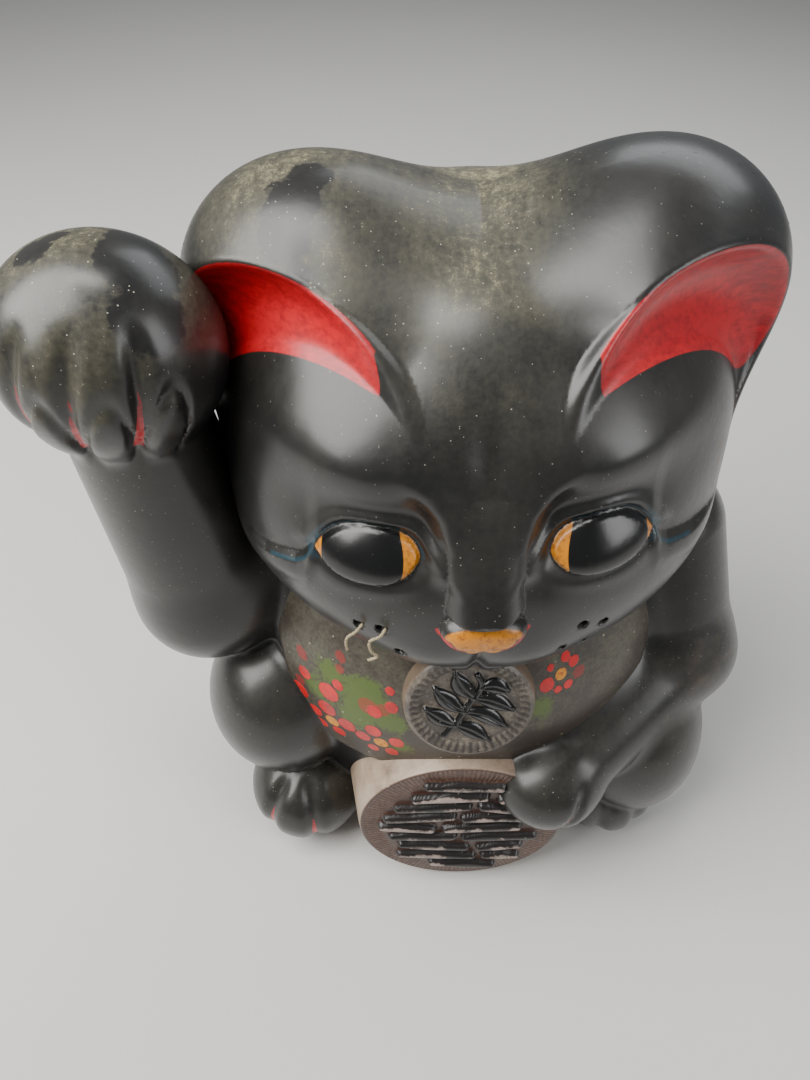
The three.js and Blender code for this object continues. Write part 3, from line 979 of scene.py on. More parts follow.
class Signal:
    """A shader value that can be worked with like a number."""

    def __init__(self, mixer: "Mixer", socket: bpy.types.NodeSocket) -> None:
        """Wraps a socket of one material's nodes."""
        self.mixer = mixer
        self.socket = socket

    def math(self, operation: str, *others: "Signal | float", clamp: bool = False) -> "Signal":
        """Adds a Math node to this value.

        Args:
            operation: The Math node's operation.
            others: Its further inputs.
            clamp: Whether the result is kept from 0 to 1.

        Returns:
            The node's result.
        """
        values = {i: other for i, other in enumerate((self, *others))}
        return self.mixer.number("ShaderNodeMath", {"operation": operation, "use_clamp": clamp}, values)

    def __add__(self, other: "Signal | float") -> "Signal":
        """Adds."""
        return self.math("ADD", other)

    __radd__ = __add__

    def __mul__(self, other: "Signal | float") -> "Signal":
        """Multiplies."""
        return self.math("MULTIPLY", other)

    __rmul__ = __mul__

    def __sub__(self, other: "Signal | float") -> "Signal":
        """Takes away."""
        return self.math("SUBTRACT", other)

    def __rsub__(self, other: float) -> "Signal":
        """Takes this value away from a number."""
        return self * -1.0 + other

    def __truediv__(self, other: float) -> "Signal":
        """Divides by a number."""
        return self * (1.0 / other)

    def __abs__(self) -> "Signal":
        """Drops the sign."""
        return self.math("ABSOLUTE")

    def clamped(self) -> "Signal":
        """Keeps the value from 0 to 1."""
        return self.math("ADD", 0.0, clamp=True)

    def past(self, edge: float, soft: float) -> "Signal":
        """Goes from 0 to 1 over a soft width that starts at an edge."""
        return ((self - edge) / soft).clamped()

    def most(self, other: "Signal | float") -> "Signal":
        """Takes the larger of two values."""
        return self.math("MAXIMUM", other)


class Mixer:
    """Builds the nodes of one material."""

    def __init__(self, name: str) -> None:
        """Starts an empty material with one Principled shader."""
        self.material = bpy.data.materials.new(name)
        self.material.use_nodes = True
        self.tree = self.material.node_tree
        self.shader = self.tree.nodes["Principled BSDF"]
        self.place = self.node("ShaderNodeTexCoord", output="Object")

    def node(
        self, kind: str, settings: dict | None = None, values: dict | None = None, output: str | int = 0
    ) -> bpy.types.NodeSocket:
        """Adds a node.

        Args:
            kind: The node's type.
            settings: Its properties.
            values: A value or link for each input, by name or number.
            output: The output to give back.

        Returns:
            The chosen output socket.
        """
        made = self.tree.nodes.new(kind)
        for key, value in (settings or {}).items():
            setattr(made, key, value)
        for key, value in (values or {}).items():
            self.fill(made.inputs[key], value)
        return made.outputs[output]

    def fill(self, entry: bpy.types.NodeSocket, value: object) -> None:
        """Links or sets one input."""
        if isinstance(value, Signal):
            value = value.socket
        if isinstance(value, bpy.types.NodeSocket):
            self.tree.links.new(value, entry)
        elif entry.type == "RGBA":
            entry.default_value = (*value, 1.0)
        else:
            entry.default_value = value

    def number(
        self, kind: str, settings: dict | None = None, values: dict | None = None, output: str | int = 0
    ) -> Signal:
        """Adds a node and wraps its output for sums."""
        return Signal(self, self.node(kind, settings, values, output))

    def painted(self, name: str) -> Signal:
        """Reads a number stored on the mesh."""
        return self.number("ShaderNodeAttribute", {"attribute_name": name}, output="Fac")

    def stretched(self, scale: Triple, turn: Triple = (0.0, 0.0, 0.0)) -> bpy.types.NodeSocket:
        """Scales and turns the object's coordinates."""
        return self.node("ShaderNodeMapping", None, {"Vector": self.place, "Rotation": turn, "Scale": scale})

    def noise(
        self,
        scale: float,
        detail: float = 4.0,
        rough: float = 0.55,
        place: bpy.types.NodeSocket | None = None,
    ) -> Signal:
        """Adds soft noise, from 0 to 1, with features about 1/scale metres across."""
        values = {"Vector": place or self.place, "Scale": scale, "Detail": detail, "Roughness": rough}
        return self.number("ShaderNodeTexNoise", None, values, "Fac")

    def specks(self, scale: float, share: float, size: float) -> Signal:
        """Scatters round specks.

        Args:
            scale: Cells to a metre.
            share: The share of the cells that hold a speck.
            size: The speck's radius as a share of its cell.

        Returns:
            A mask that is 1 on the specks.
        """
        cell = {"Vector": self.place, "Scale": scale, "Randomness": 1.0}
        near = self.number("ShaderNodeTexVoronoi", None, cell, "Distance")
        shade = self.node("ShaderNodeTexVoronoi", None, cell, "Color")
        pick = self.number("ShaderNodeSeparateColor", None, {"Color": shade}, "Red")
        width = self.number("ShaderNodeSeparateColor", None, {"Color": shade}, "Green")
        grain = ((width * 0.8 + 0.4) * size - near).past(0.0, size * 0.35)
        return grain * (1.0 - pick).past(1.0 - share, 0.01)

    def blend(self, factor: "Signal | float", under: object, over: object) -> bpy.types.NodeSocket:
        """Lays one colour over another."""
        return self.node("ShaderNodeMix", {"data_type": "RGBA"}, {0: factor, 6: under, 7: over}, 2)

    def raised(self, height: Signal, depth: float) -> None:
        """Adds surface relief: a height from 0 to 1 over a depth in metres."""
        bump = self.node("ShaderNodeBump", None, {"Height": height, "Distance": depth, "Strength": 1.0})
        self.fill(self.shader.inputs["Normal"], bump)

    def finished(self, colour: object, roughness: "Signal | float", **fixed: object) -> bpy.types.Material:
        """Sets the shader's colour and roughness and any fixed values, such as Coat_Weight."""
        self.fill(self.shader.inputs["Base Color"], colour)
        self.fill(self.shader.inputs["Roughness"], roughness)
        for key, value in fixed.items():
            self.fill(self.shader.inputs[key.replace("_", " ")], value)
        return self.material


@dataclass(frozen=True)
class BlackGlaze:
    """Satin black glaze with painted features, painted shade in the whisker holes, settled dust, wiped
    patches and rubbed brown clay.
    """

    name: str = "black_glaze"
    black: Colour = (0.0085, 0.0085, 0.0088)
    worn: Colour = (0.018, 0.016, 0.0145)
    clay: Colour = (0.085, 0.052, 0.034)
    dust: Colour = (0.15, 0.138, 0.088)
    powder: Colour = (0.4, 0.355, 0.2)
    fleck: Colour = (0.5, 0.47, 0.38)
    red: Colour = (0.56, 0.008, 0.014)
    deep_red: Colour = (0.2, 0.004, 0.008)
    amber: Colour = (0.56, 0.2, 0.007)
    dark_amber: Colour = (0.22, 0.066, 0.006)
    cream: Colour = (0.6, 0.47, 0.26)
    teal: Colour = (0.006, 0.055, 0.085)
    pupil: Colour = (0.004, 0.004, 0.004)

    def build(self) -> bpy.types.Material:
        """Builds the material."""
        mix = Mixer(self.name)
        cloud = mix.noise(28.0, 5.0, 0.6)
        fine = mix.noise(420.0, 3.0, 0.6)
        grit = mix.noise(1500.0, 2.0, 0.5)
        colour = mix.blend(cloud.past(0.42, 0.3) * 0.8, self.black, self.worn)
        rub = (mix.painted("rub") + (mix.noise(75.0, 6.0, 0.65) - 0.5) * 1.1).past(0.42, 0.4)
        colour = mix.blend(rub * 0.8, colour, self.clay)
        brushed = mix.noise(1.0, 5.0, 0.65, mix.stretched((260.0, 60.0, 110.0), (0.0, 0.0, 0.3)))
        wiped = (mix.painted("wipe") + (mix.noise(110.0, 8.0, 0.75) - 0.5) * 14.0).past(0.0, 1.2)
        level = mix.painted("dust") * (0.5 + (cloud - 0.5) * 1.2 + (brushed - 0.5) * 0.8 + (fine - 0.5) * 0.9)
        dust = (level * (1.0 - wiped * 0.9)).clamped()
        colour = mix.blend(dust * 0.7, colour, self.dust)
        powder = (dust * 0.8 + (grit - 0.5) * 1.1).past(0.5, 0.45) * dust
        colour = mix.blend(powder * 0.7, colour, self.powder)
        small = mix.specks(700.0, 0.16, 0.2) * (0.3 + mix.painted("dust") * 1.2).clamped()
        large = mix.specks(230.0, 0.03, 0.07)
        eye = mix.painted("eye_rim")
        out = mix.painted("eye_out")
        lift = mix.painted("eye_lift")
        near_eye = mix.painted("eye_near").past(0.5, 0.01)
        red = mix.painted("red").past(0.0, 0.35)
        strokes = mix.noise(1.0, 5.0, 0.7, mix.stretched((90.0, 300.0, 420.0), (0.2, 0.5, 0.3)))
        shade = (mix.painted("red_shade") + (strokes - 0.5) * 2.2 + (fine - 0.5) * 0.8).clamped()
        colour = mix.blend(red, colour, mix.blend(shade, self.red, self.deep_red))
        teal_line = (0.5 - abs(eye - 0.9)).past(0.0, 0.25) * lift.past(-0.1, 0.2)
        teal_corner = (1.6 - abs(eye - 2.0)).past(0.0, 0.8) * out.past(0.72, 0.2) * lift.past(-0.5, 0.3) * 0.7
        near_fold = mix.painted("crease_near").past(0.5, 0.2)
        teal_fold = (0.55 - abs(mix.painted("crease"))).past(0.0, 0.3) * near_fold
        teal = (teal_line.most(teal_corner) * near_eye).most(teal_fold)
        colour = mix.blend(teal * (0.55 + (fine - 0.5)), colour, self.teal)
        mottled = mix.blend(mix.noise(430.0, 5.0, 0.75).past(0.48, 0.2), self.amber, self.dark_amber)
        amber = (eye * -1.0).past(0.0, 0.3) * near_eye
        ball = mix.painted("pupil").past(0.0, 0.25)
        lower = (0.6 - abs(eye + 0.5)).past(0.0, 0.3) * (lift * -1.0).past(0.2, 0.2)
        iris = mix.blend(ball, mix.blend(lower * 0.5, mottled, self.cream), self.pupil)
        colour = mix.blend(amber, colour, iris)
        pad = mix.painted("pad").past(0.0, 0.3)
        colour = mix.blend(pad, colour, mottled)
        # Painted shade: the whisker holes are darkened to pupil black.
        colour = mix.blend(mix.painted("hole_painted_shade").past(0.0, 0.5), colour, self.pupil)
        paint = red.most(amber).most(pad)
        clean = 1.0 - paint * 0.85
        colour = mix.blend((small * 0.75).most(large) * clean, colour, self.fleck)
        rough = 0.36 + (cloud - 0.5) * 0.16 + dust * 0.3 + rub * 0.14 + (fine - 0.5) * 0.1 + red * 0.06
        rough = (rough - ball * amber * 0.14).most(0.12)
        orange_peel = mix.noise(95.0, 3.0, 0.5) * 0.6 + fine * 0.16 + grit * dust * 0.35 + large * 0.5
        mix.raised(orange_peel, 0.00035)
        return mix.finished(colour, rough, Coat_Weight=0.6, Coat_Roughness=0.25, Specular_IOR_Level=0.32)


@dataclass(frozen=True)
class BareClay:
    """Unglazed fired clay, for the slab under the figure."""

    name: str = "bare_clay"
    light: Colour = (0.24, 0.14, 0.085)
    dark: Colour = (0.11, 0.062, 0.04)

    def build(self) -> bpy.types.Material:
        """Builds the material."""
        mix = Mixer(self.name)
        cloud = mix.noise(60.0, 6.0, 0.65)
        grain = mix.noise(900.0, 3.0, 0.6)
        colour = mix.blend((cloud * 0.7 + grain * 0.4).past(0.35, 0.4), self.light, self.dark)
        colour = mix.blend(mix.specks(500.0, 0.2, 0.3) * 0.5, colour, (0.4, 0.33, 0.24))
        mix.raised(grain * 0.6 + cloud, 0.0005)
        return mix.finished(colour, 0.78 + (grain - 0.5) * 0.2)


@dataclass(frozen=True)
class StopperRubber:
    """Dull dark rubber, for the stopper."""

    name: str = "stopper_rubber"
    dark: Colour = (0.02, 0.019, 0.018)
    chalky: Colour = (0.07, 0.066, 0.06)

    def build(self) -> bpy.types.Material:
        """Builds the material."""
        mix = Mixer(self.name)
        bloom = mix.noise(90.0, 5.0, 0.6)
        grain = mix.noise(1400.0, 2.0, 0.5)
        colour = mix.blend(bloom.past(0.4, 0.35), self.dark, self.chalky)
        mix.raised(grain * 0.5 + bloom * 0.4, 0.0002)
        return mix.finished(colour, 0.62 + (bloom - 0.5) * 0.3)


# ---------------------------------------------------------------- the glazed figure
@dataclass
class GlazedSkin:
    """Cuts a sculpted surface into the pieces it was luted from, and dresses each."""

    sculptor: Sculptor
    nodes: list[str]
    owners: Callable[[Array], Array]
    measures: Callable[[Array], list[Array]]
    paint: Callable[[Array, Array], dict[str, Array]]
    wall: float = 2.2

    def build(self, finish: bpy.types.Material) -> list[bpy.types.Object]:
        """Meshes the surface and makes one piece for each node.

        Args:
            finish: The glaze.

        Returns:
            The pieces.
        """
        surface = self.sculptor.surface()
        owner = self.owners(surface.points[surface.faces].mean(1))
        # The two half shells, which come first, already meet on the seam plane.
        apart = {
            (one, other): self.between(one, other)
            for one in range(len(self.nodes))
            for other in range(one + 1, len(self.nodes))
            if (one, other) != (0, 1)
        }
        settled_border(surface, self.sculptor, owner, apart)
        slope = self.sculptor.slope(surface.points)
        surface.outward = slope / (np.linalg.norm(slope, axis=1, keepdims=True) + 1e-9)
        painted = self.paint(surface.points, surface.outward)
        pieces = []
        for number, node in enumerate(self.nodes):
            piece, origin = patch(f"{node}_glazed", surface, owner == number, self.wall)
            for key, values in painted.items():
                paint_field(piece, key, values[origin])
            piece.data.materials.append(finish)
            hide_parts(node)
            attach(piece, FIGURE)
            log.info("%s: %d faces", piece.name, len(piece.data.polygons))
            pieces.append(piece)
        return pieces

    def between(self, one: int, other: int) -> Field:
        """Gives the field that is zero where two pieces meet."""

        def gap(points: Array) -> Array:
            """Takes one piece's distance from the other's."""
            sizes = self.measures(points)
            return sizes[one] - sizes[other]

        return gap


def spots(points: Array, places: list[tuple[float, float, float, float]]) -> Array:
    """Measures how far points lie inside the nearest of some round spots, in millimetres."""
    inside = [size - np.linalg.norm(points - np.array([x, y, z]), axis=1) for x, y, z, size in places]
    return np.max(inside, axis=0)


def head_skin(head: Head, seam: float) -> GlazedSkin:
    """Prepares the head's skin.

    Args:
        head: The head's forms.
        seam: Where the front and back halves meet.

    Returns:
        The skin, ready to build.
    """

    def measures(points: Array) -> list[Array]:
        """Measures the head's halves and ears."""
        skull = head.skull(points)
        return [skull, skull, *(ear.form(points) for ear in head.ears)]

    def owners(points: Array) -> Array:
        """Finds the piece that each point belongs to."""
        sizes = measures(points)
        owner = np.where(points[:, 1] < seam, 0, 1)
        for number in (2, 3):
            owner = np.where(sizes[number] < sizes[0] - 0.5, number, owner)
        return owner

    top = max(ear.middle[2] + ear.radii[2] for ear in head.ears) + 6.0
    low, high = (-128.0, -116.0, 166.0), (132.0, 124.0, top)
    sculptor = Sculptor(head.form, low, high, cell=1.4, seam=seam)
    nodes = ["head_front_shell", "head_back_shell", "right_ear", "left_ear"]
    return GlazedSkin(sculptor, nodes, owners, measures, head.paint)


def body_skin(body: Body, seam: float) -> GlazedSkin:
    """Prepares the body's skin, limbs and all.

    Args:
        body: The body's forms.
        seam: Where the front and back halves meet.

    Returns:
        The skin, ready to build.
    """
    nodes = ["body_front_shell", "body_back_shell"]
    nodes += list(body.limbs)

    def measures(points: Array) -> list[Array]:
        """Measures the torso twice, for its halves, and each limb."""
        parts = body.parts(points)
        return [parts["torso"], parts["torso"], *(parts[name] for name in nodes[2:])]

    def owners(points: Array) -> Array:
        """Finds the piece that each point belongs to."""
        nearest = np.argmin(np.stack(measures(points)[1:]), axis=0) + 1
        return np.where((nearest == 1) & (points[:, 1] < seam), 0, nearest)

    low, high = (-192.0, -132.0, -4.0), (158.0, 112.0, 350.0)
    sculptor = Sculptor(body.form, low, high, cell=1.9, seam=seam)
    return GlazedSkin(sculptor, nodes, owners, measures, body.paint)


def make_head(high: Array) -> Head:
    """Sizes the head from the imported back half, which holds the cranium's full width, depth and top.

    Args:
        high: The back half's highest corner.

    Returns:
        The head's forms.
    """
    middle = np.array([0.0, 12.0, 256.0])
    radii = high - middle * (0.0, 1.0, 1.0)
    right = Ear(Side.RIGHT, (-0.6 * radii[0], 12.0, 256.0 + 0.59 * radii[2]), (53.0, 50.0, 47.0))
    left = Ear(Side.LEFT, (0.61 * radii[0], 14.1, 256.0 + 0.62 * radii[2]), (55.0, 52.0, 50.0), rise=7.0)
    return Head(middle, radii, (right, left))


def make_body() -> Body:
    """Makes the body's forms, each limb luted on in the order given."""
    raised_paw = Toes(
        (-139.8, -29.6, 300.0),
        (44.0, 40.0, 43.0),
        folds=(-46.0, -15.0, 18.0),
        claws=(-30.0, 2.0, 33.0),
        top=32.0,
        streaks=(-46.0, -15.0, 18.0),
        streak_low=-38.0,
    )
    lowered_paw = Toes(
        (45.0, -100.0, 84.0),
        (27.5, 25.5, 24.0),
        folds=(-4.0,),
        top=44.0,
        depth=2.2,
        width=3.0,
        slant=0.5,
        streaks=(-4.0,),
    )
    foot_folds = {"top": 62.0, "depth": 2.8, "width": 4.4, "slant": 0.0}
    right_foot = Toes(
        (-86.5, -73.0, 27.5),
        (33.5, 35.0, 29.0),
        folds=(-38.0, 10.0),
        streaks=(-38.0, 10.0),
        streak_low=-14.0,
        **foot_folds,
    )
    left_foot = Toes((88.0, -70.0, 27.5), (31.0, 34.0, 28.5), folds=(-12.0, 30.0), **foot_folds)
    right_elbow, right_wrist = (-129.0, -28.0, 158.0), (-138.8, -27.6, 263.0)
    left_elbow, left_wrist = (116.0, -33.0, 112.0), (56.0, -92.0, 90.0)
    return Body(
        torso=Mass((0.0, 4.0, 112.0), (116.0, 102.0, 108.0)),
        hips=Mass((0.0, 4.0, 50.0), (112.0, 99.0, 92.0)),
        waist_fillet=20.0,
        limbs={
            "raised_upper_arm": Luted(Limb((-87.0, -1.0, 178.0), (-128.0, -28.0, 158.0), 32.0, 35.0), 10.0),
            "raised_forearm": Luted(Limb(right_elbow, right_wrist, 36.0, 30.0), 12.0),
            "raised_paw": Luted(raised_paw, 5.0),
            "lowered_upper_arm": Luted(Limb((97.0, -2.0, 174.0), left_elbow, 37.0, 32.0), 8.0),
            "lowered_forearm": Luted(Limb(left_elbow, left_wrist, 33.0, 22.0), 10.0),
            "lowered_paw": Luted(lowered_paw, 7.0),
            "right_haunch": Luted(Mass((-97.0, -44.0, 84.0), (42.0, 46.0, 50.0)), 5.0),
            "left_haunch": Luted(Mass((99.0, -52.0, 62.0), (40.0, 50.0, 56.0)), 5.0),
            "right_foot": Luted(right_foot, 2.0),
            "left_foot": Luted(left_foot, 2.0),
            "tail": Luted(Limb((46.0, 86.0, 22.0), (84.0, 88.0, 46.0), 16.0, 13.0), 6.0),
        },
    )


# ---------------------------------------------------------------- coin, medallion, bib and threads
@dataclass(frozen=True)
class CoinGlaze:
    """Dark red-brown glaze on the coin's face, with a pale painted highlight on the tops of the raised bars,
    and tan on its wall.
    """

    name: str = "coin_brown"
    ground: Colour = (0.055, 0.018, 0.009)
    deep: Colour = (0.012, 0.009, 0.008)
    # worn is the pale painted highlight colour for the tops of the raised bars
    worn: Colour = (0.4, 0.31, 0.27)
    hatch: Colour = (0.24, 0.15, 0.105)
    wall: Colour = (0.45, 0.35, 0.26)
    wall_shade: Colour = (0.25, 0.17, 0.115)
    smoke: Colour = (0.03, 0.024, 0.02)

    def build(self) -> bpy.types.Material:
        """Builds the material."""
        mix = Mixer(self.name)
        cloud = mix.noise(70.0, 5.0, 0.6)
        fine = mix.noise(620.0, 4.0, 0.65)
        bar = mix.painted("bar")
        colour = mix.blend((cloud - 0.35).clamped(), self.ground, self.deep)
        comb = mix.painted("hatch") * (fine.past(0.42, 0.2) * 0.8 + 0.2)
        colour = mix.blend(comb * 0.75, colour, self.hatch)
        colour = mix.blend(bar.past(0.04, 0.14), colour, self.deep)
        # Painted highlight: pale colour laid on the tops of the raised bars; top is its mask.
        top = (bar + (fine - 0.5) * 0.4 + (cloud - 0.5) * 1.1).past(0.8, 0.16)
        colour = mix.blend(top * 0.85, colour, self.worn)
        wall = mix.painted("wall")
        tan = mix.blend((cloud * 0.8 + fine * 0.3).past(0.42, 0.35), self.wall, self.wall_shade)
        smoke = mix.noise(34.0, 5.0, 0.7).past(0.56, 0.16)
        tan = mix.blend(smoke * 0.55, tan, self.smoke)
        colour = mix.blend(wall.past(0.5, 0.2), colour, tan)
        colour = mix.blend(mix.specks(420.0, 0.06, 0.22) * 0.7, colour, (0.5, 0.45, 0.36))
        rough = 0.36 + top * 0.12 + wall * 0.16 + (cloud - 0.5) * 0.2
        mix.raised(fine * 0.5 + cloud, 0.0003)
        return mix.finished(colour, rough, Coat_Weight=0.25, Coat_Roughness=0.25)


@dataclass(frozen=True)
class MedallionGlaze:
    """Grey-brown ground with ribs at the rim, painted shade in the grooves between the ribs, and a shining
    black raised ornament.
    """

    name: str = "medallion_clay"
    ground: Colour = (0.072, 0.06, 0.05)
    pale: Colour = (0.21, 0.175, 0.135)
    deep: Colour = (0.026, 0.019, 0.016)
    black: Colour = (0.008, 0.008, 0.008)

    def build(self) -> bpy.types.Material:
        """Builds the material."""
        mix = Mixer(self.name)
        cloud = mix.noise(110.0, 5.0, 0.6)
        fine = mix.noise(800.0, 3.0, 0.6)
        colour = mix.blend((cloud + (fine - 0.5) * 0.6).past(0.42, 0.3), self.ground, self.pale)
        # Painted shade: the grooves between the raised ribs are darkened towards deep.
        colour = mix.blend((1.0 - mix.painted("rib")) * mix.painted("hatch") * 0.8, colour, self.deep)
        colour = mix.blend(mix.painted("bar").past(0.12, 0.2), colour, self.black)
        colour = mix.blend(mix.painted("wall").past(0.5, 0.2) * 0.6, colour, (0.2, 0.13, 0.08))
        colour = mix.blend(mix.specks(520.0, 0.06, 0.22) * 0.6, colour, (0.4, 0.36, 0.28))
        rough = 0.5 - mix.painted("bar").past(0.12, 0.2) * 0.3 + (cloud - 0.5) * 0.12
        mix.raised(fine * 0.5 + cloud, 0.0002)
        return mix.finished(colour, rough, Coat_Weight=0.3, Coat_Roughness=0.2)


@dataclass(frozen=True)
class BibPaint:
    """Mossy speckled paint with red blossoms."""

    name: str = "bib_paint"
    brown: Colour = (0.045, 0.034, 0.026)
    grey: Colour = (0.125, 0.12, 0.08)
    moss: Colour = (0.085, 0.14, 0.015)
    red: Colour = (0.68, 0.012, 0.012)
    deep_red: Colour = (0.36, 0.008, 0.01)
    yellow: Colour = (0.72, 0.3, 0.015)
    edge: Colour = (0.04, 0.022, 0.016)

    def build(self) -> bpy.types.Material:
        """Builds the material."""
        mix = Mixer(self.name)
        cloud = mix.noise(60.0, 6.0, 0.68)
        fine = mix.noise(520.0, 4.0, 0.7)
        mottle = cloud * 0.7 + fine * 0.5 + mix.painted("pale") * 0.1
        colour = mix.blend(mottle.past(0.62, 0.3), self.brown, self.grey)
        moss = (mix.painted("moss") + (cloud - 0.5) * 1.6 + (fine - 0.5) * 1.4).past(0.5, 0.35)
        colour = mix.blend(moss * 0.8, colour, self.moss)
        colour = mix.blend(fine.past(0.6, 0.12) * 0.45, colour, (0.05, 0.045, 0.03))
        colour = mix.blend(mix.specks(330.0, 0.16, 0.2) * 0.7, colour, (0.42, 0.4, 0.27))
        ring = (1.2 - abs(mix.painted("border") + 1.0)).past(0.0, 0.8)
        colour = mix.blend(ring * 0.75, colour, self.edge)
        petal = (mix.painted("petal") + (fine - 0.5) * 0.9).past(0.0, 0.35)
        faint = (mix.painted("faded") + (fine - 0.5) * 2.6).past(0.0, 0.5)
        reds = mix.blend(cloud.past(0.45, 0.2), self.red, self.deep_red)
        colour = mix.blend(faint * 0.55, colour, self.deep_red)
        colour = mix.blend(petal, colour, reds)
        heart = (mix.painted("heart") + (fine - 0.5) * 0.8).past(0.0, 0.3)
        colour = mix.blend(heart, colour, mix.blend(fine.past(0.5, 0.1), self.yellow, (0.5, 0.1, 0.01)))
        rough = 0.46 + (cloud - 0.5) * 0.2 - petal * 0.16
        mix.raised(fine * 0.35 + petal * 0.7 + heart * 0.5 + cloud * 0.5, 0.0004)
        return mix.finished(colour, rough, Coat_Weight=0.2, Coat_Roughness=0.25)


@dataclass(frozen=True)
class ThreadFibre:
    """Cream twisted thread."""

    name: str = "thread"
    cream: Colour = (0.62, 0.53, 0.34)
    shade: Colour = (0.3, 0.22, 0.12)

    def build(self) -> bpy.types.Material:
        """Builds the material."""
        mix = Mixer(self.name)
        strands = {"Vector": mix.place, "Scale": 620.0, "Distortion": 2.0}
        twist = mix.number("ShaderNodeTexWave", {"bands_direction": "DIAGONAL"}, strands, "Fac")
        fuzz = mix.noise(2600.0, 3.0, 0.7)
        colour = mix.blend(twist * 0.6 + fuzz * 0.3, self.cream, self.shade)
        mix.raised(twist * 0.7 + fuzz * 0.4, 0.0003)
        return mix.finished(colour, 0.85 + (fuzz - 0.5) * 0.2)


@dataclass
class ReliefDisc:
    """A thick round plaque with raised work on its face, leaning back a little."""

    name: str
    node: str
    slot: str
    middle: Array
    half: tuple[float, float]
    lean: float
    depth: float
    flare: float
    relief: Callable[[Array, Array], tuple[Array, dict[str, Array]]]
    rings: int = 60
    spokes: int = 384
    round_edge: float = 1.6

    def build(self, finish: bpy.types.Material) -> bpy.types.Object:
        """Builds the disc as one closed mesh.

        Args:
            finish: The disc's material.

        Returns:
            The piece.
        """
        angles = np.arange(self.spokes) * math.tau / self.spokes
        circle = np.stack([np.sin(angles), np.zeros(self.spokes), np.cos(angles)], 1)
        half = np.array([self.half[0], 1.0, self.half[1]])
        shares = np.linspace(0.0, 1.0, self.rings + 1)[1:]
        rows, walls = [], []
        for share in shares:
            rows.append(circle * half * share)
            walls.append(0.0)
        turns = np.radians([30.0, 60.0, 90.0])
        edge = self.round_edge
        for turn in turns:
            grow = edge * math.sin(turn) / self.half[0]
            row = circle * half * (1.0 + grow)
            row[:, 1] = edge * (1.0 - math.cos(turn))
            rows.append(row)
            walls.append(0.35 + 0.3 * turn)
        for step_back in np.linspace(edge, self.depth, 14)[1:]:
            row = circle * half * (1.0 + (edge + self.flare * step_back / self.depth) / self.half[0])
            row[:, 1] = step_back
            rows.append(row)
            walls.append(1.0)
        for share in (0.75, 0.5, 0.25):
            row = circle * half * share
            row[:, 1] = self.depth
            rows.append(row)
            walls.append(1.0)
        points = np.concatenate([np.zeros((1, 3)), *rows, [[0.0, self.depth, 0.0]]])
        wall = np.concatenate([[0.0], np.repeat(walls, self.spokes), [1.0]])
        on_face = wall == 0.0
        height = np.zeros(len(points))
        painted = {}
        height[on_face], found = self.relief(points[on_face, 0], points[on_face, 2])
        for key, values in found.items():
            painted[key] = np.zeros(len(points))
            painted[key][on_face] = values
        points[:, 1] -= height
        turn = turned(x=self.lean)
        points = points @ turn.T + self.middle
        points[:, 2] = np.maximum(points[:, 2], 0.0)
        n = self.spokes
        first = [(0, 1 + (i + 1) % n, 1 + i) for i in range(n)]
        bands = [
            (1 + r * n + i, 1 + r * n + (i + 1) % n, 1 + (r + 1) * n + (i + 1) % n, 1 + (r + 1) * n + i)
            for r in range(len(rows) - 1)
            for i in range(n)
        ]
        last = 1 + (len(rows) - 1) * n
        closing = [(len(points) - 1, last + i, last + (i + 1) % n) for i in range(n)]
        piece = mesh_object(self.name, points, first + bands + closing)
        for key, values in {**painted, "wall": wall}.items():
            paint_field(piece, key, values)
        piece.data.materials.append(finish)
        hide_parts(self.node)
        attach(piece, FIGURE)
        log.info("%s: %d faces", piece.name, len(piece.data.polygons))
        return piece


def half_round(near: Array, half_width: float | Array) -> Array:
    """Gives the height of a half-round strip, from 0 at its edge to 1 along its middle."""
    return np.sqrt(np.clip(1.0 - (near / half_width) ** 2, 0.0, 1.0))


@dataclass
class CoinFace:
    """The coin's raised work: staggered bars inside a combed border."""

    half: float = 52.5
    row_step: float = 9.6
    bar_half_width: float = 3.1
    bar_height: float = 4.0
    comb_lines: int = 132
    comb_depth: float = 0.55
    border: float = 0.8

    def relief(self, x: Array, z: Array) -> tuple[Array, dict[str, Array]]:
        """Gives the face's height at each place.

        Args:
            x: Places across the face.
            z: Places up the face.

        Returns:
            The height, and numbers for the glaze to read.
        """
        dice = np.random.default_rng(7)
        far = np.hypot(x, z) / self.half
        height = np.zeros_like(x)
        for row in range(-4, 5):
            level = row * self.row_step
            span = math.sqrt(max((self.half * (self.border + 0.02)) ** 2 - level**2, 0.0))
            start = -span + dice.uniform(0.0, 9.0)
            while start < span - 5.0:
                length = min(dice.uniform(20.0, 44.0), span - start)
                sag = dice.uniform(-1.6, 1.6)
                path = smooth_path([
                    (start, level + sag),
                    (start + length / 2, level + dice.uniform(-0.8, 0.8)),
                    (start + length, level - sag),
                ], 3)
                near, share = along_path(x, z, path)
                lumps = 0.25 * np.sin(math.pi * share) + 0.12 * np.sin(9.0 * share + row)
                bar = half_round(near, self.bar_half_width * (0.85 + lumps))
                height = np.maximum(height, bar * dice.uniform(0.8, 1.0))
                start += length + dice.uniform(6.5, 9.0)
        comb = 0.5 + 0.5 * np.cos(np.arctan2(x, z) * self.comb_lines)
        band = step(far - self.border, 0.06) * step(0.985 - far, 0.03)
        raised = self.bar_height * height - self.comb_depth * comb * band * (height < 0.02)
        return raised, {"bar": height, "hatch": comb * band}


